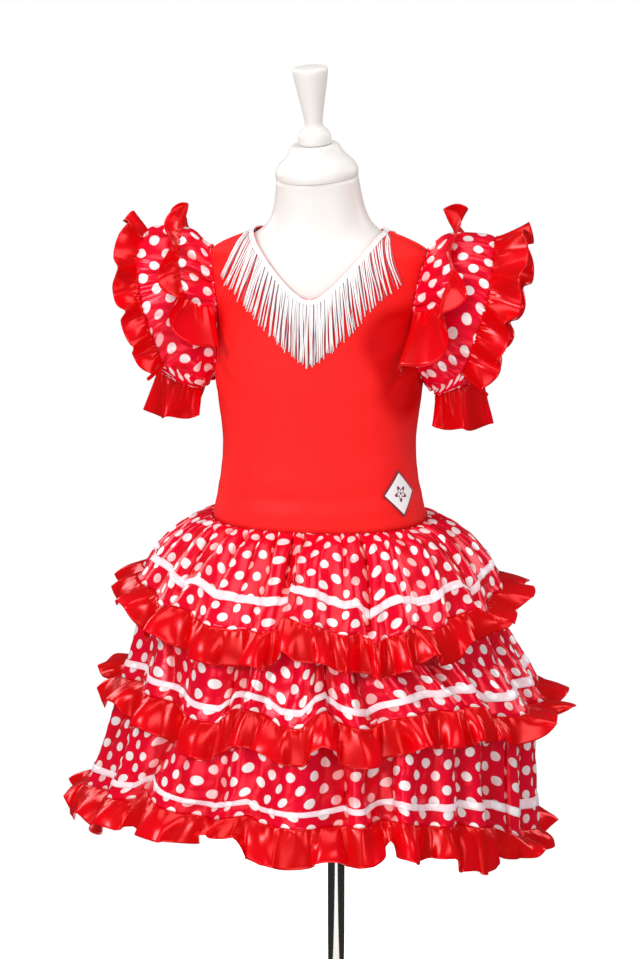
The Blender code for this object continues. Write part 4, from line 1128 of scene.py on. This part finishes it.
def skirtPiece(cloth, word):
    tier, along = cloth["tier"], cloth[word.lower()]
    ends = along.copy()
    ends[0] += 0.1
    ends[-1] -= 0.1
    down = cloth["length"] * np.linspace(0, 1, skirt["rows"]) ** 1.25
    grid, outward, detail, shade = fineTier(cloth, ends, down)
    grid = (grid + outward * detail[..., None])[::-1]
    uvs = flatGrid(along, clothUp(cloth, along, down))[::-1]
    made = clothMesh(f"tier{tier + 1}{word}", grid, uvs, False, skirt["thick"], shade[::-1])
    dress(made, satin, "polka_satin", f"tier_{tier + 1}_{word.lower()}")
    (along[-1] - along[0]) * mm
    cloth["length"] * mm
    "bodiceFront" if tier == 0 else f"tier{tier}{word}"
    [f"tape{tier + 1}"] if word == "Front" else []
    return made


def ruffleStrip(cloth):
    look = hemRuffle
    tier, along, total = cloth["tier"], cloth["round"], cloth["total"]
    columns = np.interp(along, cloth["along"], cloth["columns"])
    rows, facing, detail, _ = fineTier(cloth, along, [cloth["length"]])
    root = rows[0] + facing[0] * detail[0][:, None]
    fold = foldAt(tier, columns)
    sine, cosine = sineCosine(fold["angle"])
    outward, sideways = np.stack([sine, -cosine, 0 * sine], -1), np.stack([cosine, sine, 0 * sine], -1)
    flare, turn = look["flare"][tier], np.degrees(np.arctan2(sine, cosine))
    lean, lift = (np.interp(turn, flare["angle"], flare[key], period=360) for key in ("out", "lift"))
    wave = columns * look["waves"] / skirt["columns"]
    phase = wavePhase(wave)

    def wander(size, seed):
        return unevenness(along, 0 * along, size, seed + tier)

    narrow = np.minimum(fold["width"] / look["commonFold"], 1.2)
    swing = look["wave"][tier] * narrow * waveOut(wave) + 2.5 * wander(90, 160)
    out = np.maximum(lean + swing, look["least"]) + look["creaseFill"] * np.maximum(-fold["reach"], 0)
    wide = look["wide"] + 1.5 * wander(120, 170)
    out = np.minimum(out, look["steepest"] * wide)
    fall = np.sqrt(wide ** 2 - out ** 2)
    shares = np.linspace(0, 1, look["rows"])[:, None]
    curl = (look["curl"] * np.sin(2 * phase) + 4.0 * np.sin(phase + 5 * wander(200, 180))) * shares ** 1.5
    bulge = 2.2 * np.sin(math.pi * shares) * (0.6 + 0.4 * np.cos(phase))
    reach = out * (1.32 * shares - 0.32 * shares ** 2) + bulge
    drop = fall * (0.82 * shares + 0.18 * shares ** 2) - lift * shares ** 1.3 - 0.8 * (1 - shares)
    grid = root + outward * reach[..., None] - upward * drop[..., None] + sideways * curl[..., None]
    normal = outwardOf(grid[::-1], True)[::-1]
    across = (along / total)[None, :]
    puckers = 1.0 * gathers(across, 150, 80 + tier) * np.exp(-shares * wide / 5) * fadeIn(shares * 12)
    puckers = puckers + 1.2 * gathers(across, 52, 90 + tier) * np.exp(-shares * wide / 9) * fadeIn(shares * 6)
    soft = 2.0 * unevenness(along[None, :] * 1.6, shares * 34, 46, 100 + tier) * shares ** 1.1
    grid = (grid + normal * (puckers + soft)[..., None])[::-1]
    uvs = flatGrid(np.append(along, total) * look["fullness"], (1 - shares) * look["wide"])[::-1]
    shade = waveShade(phase, shares, 0.45, 0.25)[::-1]
    made = clothMesh(f"hemRuffle{tier + 1}", grid, uvs, True, look["thick"], shade)
    dress(made, scarlet, "red_satin", f"hem_ruffle_{tier + 1}")
    total * look["fullness"] * mm
    look["wide"] * mm
    f"tier{tier + 1}Front"
    return made


def tapeStrip(cloth):
    look = skirt
    tier, places, count = cloth["tier"], cloth["places"], look["tapeRows"]
    middle = places[-2] + (places[-1] - places[-2]) * look["tapes"][tier]
    down = middle + np.linspace(-0.5, 0.5, count) * look["tapeWide"]
    along = cloth["round"]
    grid, outward, detail, _ = fineTier(cloth, along, down)
    edge = np.linspace(-1, 1, count)[:, None]
    wrinkle = 0.22 * gathers((along / cloth["total"])[None, :], 130, 110 + tier)
    crown = 1.2 - 0.3 * edge ** 2 + wrinkle + 0.4 * unevenness(along[None, :], edge * 6, 16, 115 + tier)
    grid = (grid + outward * (detail + crown)[..., None])[::-1]
    closed = np.append(along, cloth["total"])
    uvs = flatGrid(closed, clothUp(cloth, closed, down))[::-1]
    across = np.broadcast_to((1 - edge) / 2, grid.shape[:2])  # the tape's shade tells where its edges are
    made = clothMesh(f"tape{tier + 1}", grid, uvs, True, look["tapeThick"], across[::-1])
    return dress(made, ribbon, "white_tape", f"tape_{tier + 1}")


for tier in range(3):
    cloth = tierCloth(tier)
    tapeStrip(cloth)
    skirtPiece(cloth, "Front")
    skirtPiece(cloth, "Back")
    ruffleStrip(cloth)
    print("skirt tier", tier + 1, "made, mm round and down:", round(cloth["total"]), round(cloth["length"]))


# sleeves

sleeve = {
    # the widest ring, and the seeds for the wearer's left and right
    "widest": 3.6, "seeds": (200, 240),
    "around": 240, "rows": 58, "thick": 0.8, "lift": 0.5, "tuckWide": 15.0, "crest": 1.5, "ruffleLift": 2.0,
    "rings": tableOf(
        "ring topOut topHeight lowOut lowHeight halfDepth bulge",
        (0, 116.5, 922, 113.0, 789, 45, 0), (1, 129, 935, 116.5, 783, 54, 6),
        (2, 147, 943, 118.5, 780, 60, 14), (3, 183, 940, 121.0, 778, 62, 27),
        (4, 195, 915, 122.0, 777, 57, 24), (5, 196, 877, 123.0, 776, 49, 17),
        (6, 187, 838, 124.0, 775, 39, 9), (7, 174, 795, 125.0, 774, 29, 0),
    ),
}
# the ruffles of both sleeves, where a pair in round brackets is for the wearer's left and right
sleeveRuffles = {
    "Upper": {
        "seam": tableOf("step ring turn", (0, 0.25, 79), (1, 0.8, 80), (2, 1.35, 73), (3, 1.62, 59),
                        (4, 1.8, 40), (5, 1.9, 20), (6, 1.95, 0)),
        "wide": (30.0, 26.0), "endWide": 1.6, "rows": 18, "waves": 7, "perWave": 28, "wave": 13.0,
        "shift": 1,
        "tiltTop": (2.0, 26.0), "tiltSide": (48.0, 52.0), "droop": (30.0, 15.0), "curl": 3.0,
        "gathers": [42, 14], "fade": 14, "start": 6, "run": 420.0, "seed": (300, 320),
        "flat": ((430.0, 31.0), (430.0, 27.0)),
    },
    "Outer": {
        "seam": tableOf("step ring turn", (0, 3.5, 121), (1, 3.0, 108), (2, 2.85, 93), (3, 2.85, 75),
                        (4, 2.95, 54), (5, 3.05, 28), (6, 3.1, 0)),
        "wide": (38.0, 27.0), "endWide": (0.95, 0.9), "rows": 18, "waves": 10, "perWave": 28, "wave": 11.0,
        "shift": 0, "tiltTop": (30.0, 6.0), "tiltSide": (60.0, 54.0), "droop": 2.0, "curl": 3.0,
        "gathers": [60, 20], "fade": 14, "start": 6, "run": 600.0, "seed": (340, 360),
        "flat": ((520.0, 34.0), (500.0, 28.0)),
    },
    "Cuff": {
        "rows": 16, "waves": 5, "perWave": 40, "wave": 7.0, "lean": 2.5, "fall": (36, 32), "curl": 4.0,
        "aside": (5.0, 8.0),
        "gathers": [28, 9], "fade": 16, "start": 5, "run": 300.0, "seed": (400, 420),
        "cloth": [290.0, 39.0], "flat": ((280.0, 39.0), (280.0, 35.0)),
    },
}


def armholePoint(turn):
    sine, cosine = sineCosine(turn)
    height, depth = armholeMiddle + armholeHalf * cosine, torso["armholeDepth"] * np.abs(sine)
    bodyTurn = np.where(sine > 0, turnAtDepth(height, depth, True), 180 - turnAtDepth(height, depth, False))
    return overBodice(bodyTurn, height, np.full(np.shape(height), sleeve["lift"])) - torsoAxis(0.0)


def sleevePoint(ring, turn):
    ring, turn = np.broadcast_arrays(np.asarray(ring, float), np.asarray(turn, float))
    rings = sleeve["rings"]
    value = {name: smoothThrough(rings["ring"], rings[name], ring) for name in rings if name != "ring"}
    sine, cosine = sineCosine(turn)
    flat = 0 * sine
    top = np.stack([value["topOut"], flat, value["topHeight"]], -1)
    low = np.stack([value["lowOut"], flat, value["lowHeight"]], -1)
    half = (top - low) / 2
    point = (top + low) / 2 + half * cosine[..., None]
    point[..., 1] = -value["halfDepth"] * sine
    outward = unit(np.stack([half[..., 2], flat, -half[..., 0]], -1))
    point = point + outward * (value["bulge"] * sine ** 2)[..., None]
    return mix(armholePoint(turn), point, np.clip(ring, 0, 1)[..., None])


def sleeveNormal(ring, turn):
    along = sleevePoint(ring + 0.05, turn) - sleevePoint(ring - 0.05, turn)
    around = sleevePoint(ring, turn + 1) - sleevePoint(ring, turn - 1)
    return unit(np.cross(around, along))


def sleeveRun():
    # turns from the top seam round and how far along the widest cloth each is
    turns = -np.linspace(0, 360, 1441)
    return turns, lengthsAlong(sleevePoint(np.full(len(turns), sleeve["widest"]), turns))


def sleeveCloth(seed):
    # the sleeve with its gathers at the armhole and at the cuff, its painted shade, its girth and its lengths
    # down
    look = sleeve
    turns, along = sleeveRun()
    total = along[-1]
    thread = np.linspace(0, total, look["around"] + 1)[:-1]
    nearSeam = fadeIn(thread / 20) * fadeIn((total - thread) / 20)
    plan = gatherPlan((0.0, total), look["tuckWide"], seed)
    rings = 7 * (0.5 - 0.5 * np.cos(np.linspace(0.12, math.pi - 0.12, look["rows"])))
    rings = (rings - rings[0]) / (rings[-1] - rings[0]) * 7
    grid, facing, sinks = [], [], []
    for ring in rings:
        around = lengthsAlong(sleevePoint(np.full(len(turns), ring), turns))[-1]
        fullness = 1 + max(total / around - 1, 0) + 0.35 * np.exp(-ring / 0.8)
        moved, deep = drawIn(thread, plan, min(fullness, 1.9))
        sway = 4.0 * unevenness(thread, 30 * ring, 60, seed + 3) * fadeIn(ring) * fadeIn(7 - ring)
        turn = np.interp(np.clip(moved + sway * nearSeam, 0, total), along, turns)
        ring = np.full(len(turn), ring)
        grid.append(sleevePoint(ring, turn))
        facing.append(sleeveNormal(np.clip(ring, 0.06, 6.94), turn))
        sinks.append(deep * fadeIn(ring * 3 + 0.2) * fadeIn((7 - ring) * 3 + 0.3))
    grid, facing, sink = np.stack(grid), np.stack(facing), np.stack(sinks)
    ring, share = rings[:, None], (thread / total)[None, :]
    soft = 1.9 * unevenness(thread[None, :], ring * 26, 48, seed + 4) * fadeIn(ring) * fadeIn(7 - ring)
    small = 0.7 * gathers(share, 60, seed + 5) * np.exp(-ring / 0.25)
    small = small + 0.7 * gathers(share, 44, seed + 6) * np.exp(-(7 - ring) / 0.25)
    pinch = 1.5 * gathers(share + 0.004 * ring, 26, seed + 7) * np.exp(-((ring - 1.15) / 0.6) ** 2)
    pinch = pinch + 1.2 * gathers(share - 0.006 * ring, 34, seed + 8) * np.exp(-((ring - 2.75) / 0.4) ** 2)
    grid = grid + facing * (look["crest"] - sink + soft + small + pinch)[..., None]
    down = lengthsAlong(sleevePoint(ring, np.interp(np.append(thread, total), along, turns)[None, :]))
    return grid, 0.16 * sink - 0.12 * soft - 0.20 * pinch + 0.12, total, down


def forSide(look, side):
    number = 0 if side == 1 else 1
    return {key: value[number] if isinstance(value, tuple) else value for key, value in look.items()}


def onSide(rows, side, isPlace=False):
    # the wearer's left sleeve, or its mirror image with the rows turned round
    if side != 1:
        rows = rows[:, ::-1] * np.array([-1.0, 1, 1]) if isPlace else rows[:, ::-1]
    return rows + torsoAxis(0.0) if isPlace else rows


def sleeveTube(side, word):
    look = forSide(sleeve, side)
    grid, shade, total, down = sleeveCloth(look["seeds"])
    tall = down[-1].max()
    uvs = flatGrid(np.linspace(0, total, look["around"] + 1), onSide((tall - down)[::-1], side))
    grid, shade = onSide(grid[::-1], side, True), onSide(shade[::-1], side)
    made = clothMesh(f"sleeve{word}", grid, uvs, True, look["thick"], shade)
    dress(made, satin, "polka_satin", f"sleeve_{word.lower()}")
    total * mm
    tall * mm
    total * down[-1].mean() * mm * mm
    return made


def sleeveRuffle(name, node, side, look, shares, grid, across, closed):
    # fine gathers, painted shade and finish of a sleeve's ruffle, from its bare form, seam first
    rows, columns = grid.shape[:2]
    count = look["waves"] * look["perWave"]
    around, flat = (np.arange(columns) / count)[None, :], shares[..., 0]
    seed, (fine, broad) = look["seed"], look["gathers"]
    puckers = 0.9 * gathers(around, fine, seed) * np.exp(-flat * 30 / 5)
    puckers = puckers + (1.2 * gathers(around, broad, seed + 1) * np.exp(-flat * 30 / look["fade"])
                         * fadeIn(flat * look["start"]))
    soft = 2.0 * unevenness(around * look["run"], flat * 30, 40, seed + 2) * flat
    grid = onSide((grid + across * (puckers + soft)[..., None])[::-1], side, True)
    shade = onSide(waveShade(wavePhase(around[0] * look["waves"]), flat, 0.4, 0.2)[::-1], side)
    length, wide = look.get("cloth", look["flat"])
    uvs = flatGrid(np.linspace(0, length, count + 1), np.linspace(0, wide, rows)[:, None])
    made = clothMesh(name, grid, uvs, closed, sleeve["thick"], shade)
    dress(made, scarlet, "red_satin", node)
    length, wide = look["flat"]
    length * mm
    wide * mm
    return made


def sleeveStrip(kind, side, word):
    look = forSide(sleeveRuffles[kind], side)
    count = look["waves"] * look["perWave"]
    seam, last = look["seam"], 6
    place = np.linspace(0, 2 * last, count + 1)
    step = np.minimum(place, 2 * last - place)
    turn = smoothThrough(seam["step"], seam["turn"], step) * np.where(place <= last, 1, -1)
    ring = smoothThrough(seam["step"], seam["ring"], step)
    normal = sleeveNormal(ring, turn)
    root = sleevePoint(ring, turn) + normal * sleeve["ruffleLift"]
    along = unit(np.gradient(root, axis=0))
    outward = unit(np.cross(along, normal))
    sideways = np.sin(np.radians(turn)) ** 2
    sine, cosine = [part[:, None] for part in sineCosine(mix(look["tiltTop"], look["tiltSide"], sideways))]
    waves = look["waves"] * np.arange(count + 1) / count
    wave = look["wave"] * waveOut(waves + look["shift"])
    reach = np.sqrt((look["wide"] * mix(look["endWide"], 1.0, fadeIn(step / 3))) ** 2 - wave ** 2)
    band, across = normal * cosine + outward * sine, outward * cosine - normal * sine
    shares = np.linspace(0, 1, look["rows"])[:, None, None]
    grid = root + band * reach[:, None] * shares + across * (wave[:, None] * shares ** 1.2)
    grid = grid + along * (look["curl"] * np.sin(wavePhase(waves)))[:, None] * shares ** 1.7
    grid = grid - upward * (look["droop"] * sideways)[:, None] * shares ** 1.5
    name, node = f"sleeve{kind}Ruffle{word}", f"sleeve_{kind.lower()}_ruffle_{word.lower()}"
    return sleeveRuffle(name, node, side, look, shares, grid, across, False)


def cuffRuffle(side, word):
    look = forSide(sleeveRuffles["Cuff"], side)
    count = look["waves"] * look["perWave"]
    around = np.arange(count) / count
    waves = around * look["waves"]
    root = sleevePoint(np.full(count, 7.0), -360 * around)
    away = unit((root - root.mean(0)) * np.array([1, 1, 0.0]))
    along = unit(np.roll(root, -1, 0) - np.roll(root, 1, 0))
    lean = look["lean"] + look["wave"] * waveOut(waves)
    fall = look["fall"] + 0.9 * (root[:, 2] - root[:, 2].min()) - 0.3 * lean
    shares = np.linspace(0, 1, look["rows"])[:, None, None]
    grid = root + away * (lean[:, None] * shares) + np.array([look["aside"], 0, 0]) * shares
    grid = grid - upward * (fall[:, None] * shares)
    grid = grid - along * (look["curl"] * np.sin(wavePhase(waves)))[:, None] * shares ** 1.6
    name, node = f"cuffRuffle{word}", f"cuff_ruffle_{word.lower()}"
    return sleeveRuffle(name, node, side, look, shares, grid, away, True)


for side, word in ((1, "Left"), (-1, "Right")):
    sleeveTube(side, word)
    sleeveStrip("Upper", side, word)
    sleeveStrip("Outer", side, word)
    cuffRuffle(side, word)
print("sleeves made")


# dress form: the torso, the turned cap and finial, the pole and the base

form = {
    # height and radius up the two turned pieces
    "cap": [(1002.3, 43.0), (1006, 43.7), (1011, 42.8), (1017, 39.0), (1023, 33.0), (1028, 28.8),
            (1033, 26.2), (1036, 24.6)],
    "finial": [(1036.3, 15.0), (1037, 16.6), (1042, 17.5), (1048, 16.2), (1053, 12.0), (1056, 9.6),
               (1062, 9.6), (1084, 13.4), (1106, 17.6), (1114, 18.4), (1117, 17.0)],
    "pole": {"radius": 9.5, "low": 10.3, "high": 493.7, "sides": 64, "bevel": 0.4},
    "base": {"radius": 138.0, "low": 0.0, "high": 10.0, "sides": 128, "bevel": 2.0},
}


def roundEdges(made, width, segments, limit, smooth):
    rounding = made.modifiers.new("rounding", "BEVEL")
    rounding.width = width * mm
    rounding.segments = segments
    rounding.limit_method = "ANGLE"
    rounding.angle_limit = math.radians(limit)
    bpy.ops.object.modifier_apply(modifier=rounding.name)
    bpy.ops.object.shade_smooth_by_angle(angle=math.radians(smooth))


def smoothTorso():
    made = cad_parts["form_torso"].copy()
    made.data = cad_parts["form_torso"].data.copy()
    made.name = "formTorso"
    made.parent = None
    for key in list(made.keys()):
        del made[key]
    bpy.context.scene.collection.objects.link(made)
    chooseOnly(made)
    bpy.ops.object.mode_set(mode="EDIT")
    bpy.ops.mesh.select_all(action="SELECT")
    bpy.ops.mesh.remove_doubles(threshold=0.00002)
    bpy.ops.mesh.dissolve_limited(angle_limit=math.radians(1.0))
    bpy.ops.mesh.tris_convert_to_quads(face_threshold=math.radians(60), shape_threshold=math.radians(60))
    bpy.ops.mesh.select_all(action="DESELECT")
    bpy.ops.mesh.select_mode(type="EDGE")
    bpy.ops.mesh.edges_select_sharp(sharpness=math.radians(55))
    bpy.ops.transform.edge_crease(value=1.0)
    bpy.ops.object.mode_set(mode="OBJECT")
    smoothing = made.modifiers.new("rounding", "SUBSURF")
    smoothing.levels = smoothing.render_levels = 2
    bpy.ops.object.modifier_apply(modifier=smoothing.name)
    bpy.ops.object.shade_smooth_by_angle(angle=math.radians(50))
    return dress(made, formLook, "form_white", "form_torso")


def turned(name, rows, sides, node):
    # a turned piece: a ring raised and resized row by row, round the neck's leaning line
    bpy.ops.object.select_all(action="DESELECT")
    places = [Vector((*torsoAxis(height)[:2], height)) * mm for height, _ in rows]
    bpy.ops.mesh.primitive_circle_add(vertices=sides, radius=rows[0][1] * mm, fill_type="NGON",
                                      location=places[0])
    made = bpy.context.active_object
    made.name = name
    bpy.ops.object.mode_set(mode="EDIT")
    bpy.ops.mesh.select_all(action="SELECT")
    for before, after, start, end in zip(rows, rows[1:], places, places[1:]):
        bpy.ops.mesh.extrude_region_move(TRANSFORM_OT_translate={"value": end - start})
        bpy.ops.transform.resize(value=[after[1] / before[1]] * 3, center_override=end)
    bpy.ops.mesh.select_all(action="SELECT")
    bpy.ops.mesh.normals_make_consistent(inside=False)
    bpy.ops.object.mode_set(mode="OBJECT")
    made.data.transform(made.matrix_world)
    made.matrix_world.identity()
    made.location = (0, 0, 0)
    tilt = Vector((torso["leanAcross"], torso["leanForward"], 1.0)).normalized()
    for vertex in made.data.vertices:  # each ring is square to the leaning line
        axis = torsoAxis(vertex.co.z / mm) * mm
        vertex.co.z -= (vertex.co.x - axis[0]) * tilt.x + (vertex.co.y - axis[1]) * tilt.y
    chooseOnly(made)
    roundEdges(made, 1.2, 3, 50, 40)
    return dress(made, formLook, "form_white", node)


def finerRows(rows, steps):
    places = np.array([row[0] for row in rows], float)
    radii = np.array([row[1] for row in rows], float)
    finer = np.unique(np.concatenate([np.linspace(a, b, steps + 1) for a, b in zip(places, places[1:])]))
    return list(zip(finer, smoothThrough(places, radii, finer)))


def plainPost(name, look, material, slot, node):
    radius, low, high = (look[key] * mm for key in ("radius", "low", "high"))
    bpy.ops.object.select_all(action="DESELECT")
    bpy.ops.mesh.primitive_cylinder_add(vertices=look["sides"], radius=radius, depth=high - low,
                                        location=(0, 0, (low + high) / 2))
    made = bpy.context.active_object
    made.name = name
    made.data.transform(made.matrix_world)
    made.location = (0, 0, 0)
    roundEdges(made, look["bevel"], 4, 30, 30)
    return dress(made, material, slot, node)


smoothTorso()
turned("turnedCap", finerRows(form["cap"], 4), 64, "neck_cap")
turned("turnedFinial", finerRows(form["finial"], 4), 48, "finial")
plainPost("poleTube", form["pole"], poleLook, "pole_chrome", "pole")
plainPost("steelBase", form["base"], baseLook, "base_steel", "base_plate")
print("dress form made")


# floor, light and camera

studio = {
    # the camera, its place in metres from the dress's middle
    "away": 3.1, "height": 1.39, "turn": 8.0, "pitch": 13.0, "lens": 110.9, "aside": 0.0035,
    "centre": (-0.013, -0.012),
    "floorWide": 0.34, "floorLong": 3.2, "floorGlow": 0.55, "ambient": 0.60, "shine": 0.04,
    "lampsAim": (0, 0, 0.65),
    "lamps": [
        # name, place in metres, size and power
        ("key", (-1.5, -2.7, 2.1), 1.0, 50),
        ("fill", (1.7, -2.6, 1.7), 1.2, 17),
        ("low", (-0.7, -1.5, 0.1), 0.6, 2.4),
        ("top", (0.1, -0.3, 3.0), 1.6, 22),
        ("backLeft", (-2.2, 1.6, 1.7), 1.2, 18),
        ("backRight", (2.2, 1.6, 1.7), 1.2, 16),
    ],
}


def buildStudio():
    scene = bpy.context.scene
    look = studio
    bpy.ops.object.select_all(action="DESELECT")
    bpy.ops.mesh.primitive_plane_add(size=1, location=(0, 0, -0.0005))
    floor = bpy.context.active_object
    floor.name = "floor"
    bpy.ops.transform.resize(value=(look["floorWide"], look["floorLong"], 1), center_override=(0, 0, 0))
    floor.rotation_euler[2] = math.radians(look["turn"])
    bpy.ops.object.transform_apply(location=True, rotation=True, scale=True)
    pale = startMaterial("pale floor", (0.93, 0.93, 0.93), 0.9, Emission_Color=(1, 1, 1, 1),
                         Emission_Strength=look["floorGlow"])
    floor.data.materials.append(pale[0])
    world = bpy.data.worlds.new("studio")
    scene.world = world
    world.use_nodes = True
    tree = world.node_tree
    wire = Wire(tree)
    tree.nodes["Background"].inputs["Color"].default_value = (1, 1, 1, 1)
    shine = wire.add("ShaderNodeLightPath", None, None, "Is Glossy Ray")
    light = look["ambient"] + shine * (look["shine"] - look["ambient"])
    tree.links.new(light.socket, tree.nodes["Background"].inputs["Strength"])
    glow = Wire(tree, tree.nodes["Background"].outputs[0])
    white = wire.add("ShaderNodeBackground", None, {"Color": (1, 1, 1, 1), "Strength": 1.0})
    seen = wire.add("ShaderNodeLightPath")  # the camera sees plain white behind the dress
    both = wire.add("ShaderNodeMixShader", None, {0: seen, 1: glow, 2: white})
    tree.links.new(both.socket, tree.nodes["World Output"].inputs["Surface"])
    scene.view_settings.view_transform = "Standard"
    for name, place, size, power in look["lamps"]:
        lamp = bpy.data.lights.new(name, "AREA")
        lamp.size = size
        lamp.energy = power
        holder = bpy.data.objects.new(name, lamp)
        scene.collection.objects.link(holder)
        holder.location = place
        aim = Vector(look["lampsAim"]) - Vector(place)
        holder.rotation_euler = aim.to_track_quat("-Z", "Y").to_euler()
    camera = bpy.data.cameras.new("camera")
    camera.sensor_width = 36
    camera.lens = look["lens"]
    holder = bpy.data.objects.new("camera", camera)
    scene.collection.objects.link(holder)
    turn = math.radians(look["turn"])
    x, y = look["centre"]
    holder.location = (x + look["away"] * math.sin(turn) - look["aside"] * math.cos(turn),
                       y - look["away"] * math.cos(turn) - look["aside"] * math.sin(turn), look["height"])
    holder.rotation_euler = (math.radians(90 - look["pitch"]), 0, turn)
    scene.camera = holder


buildStudio()
print("studio made")
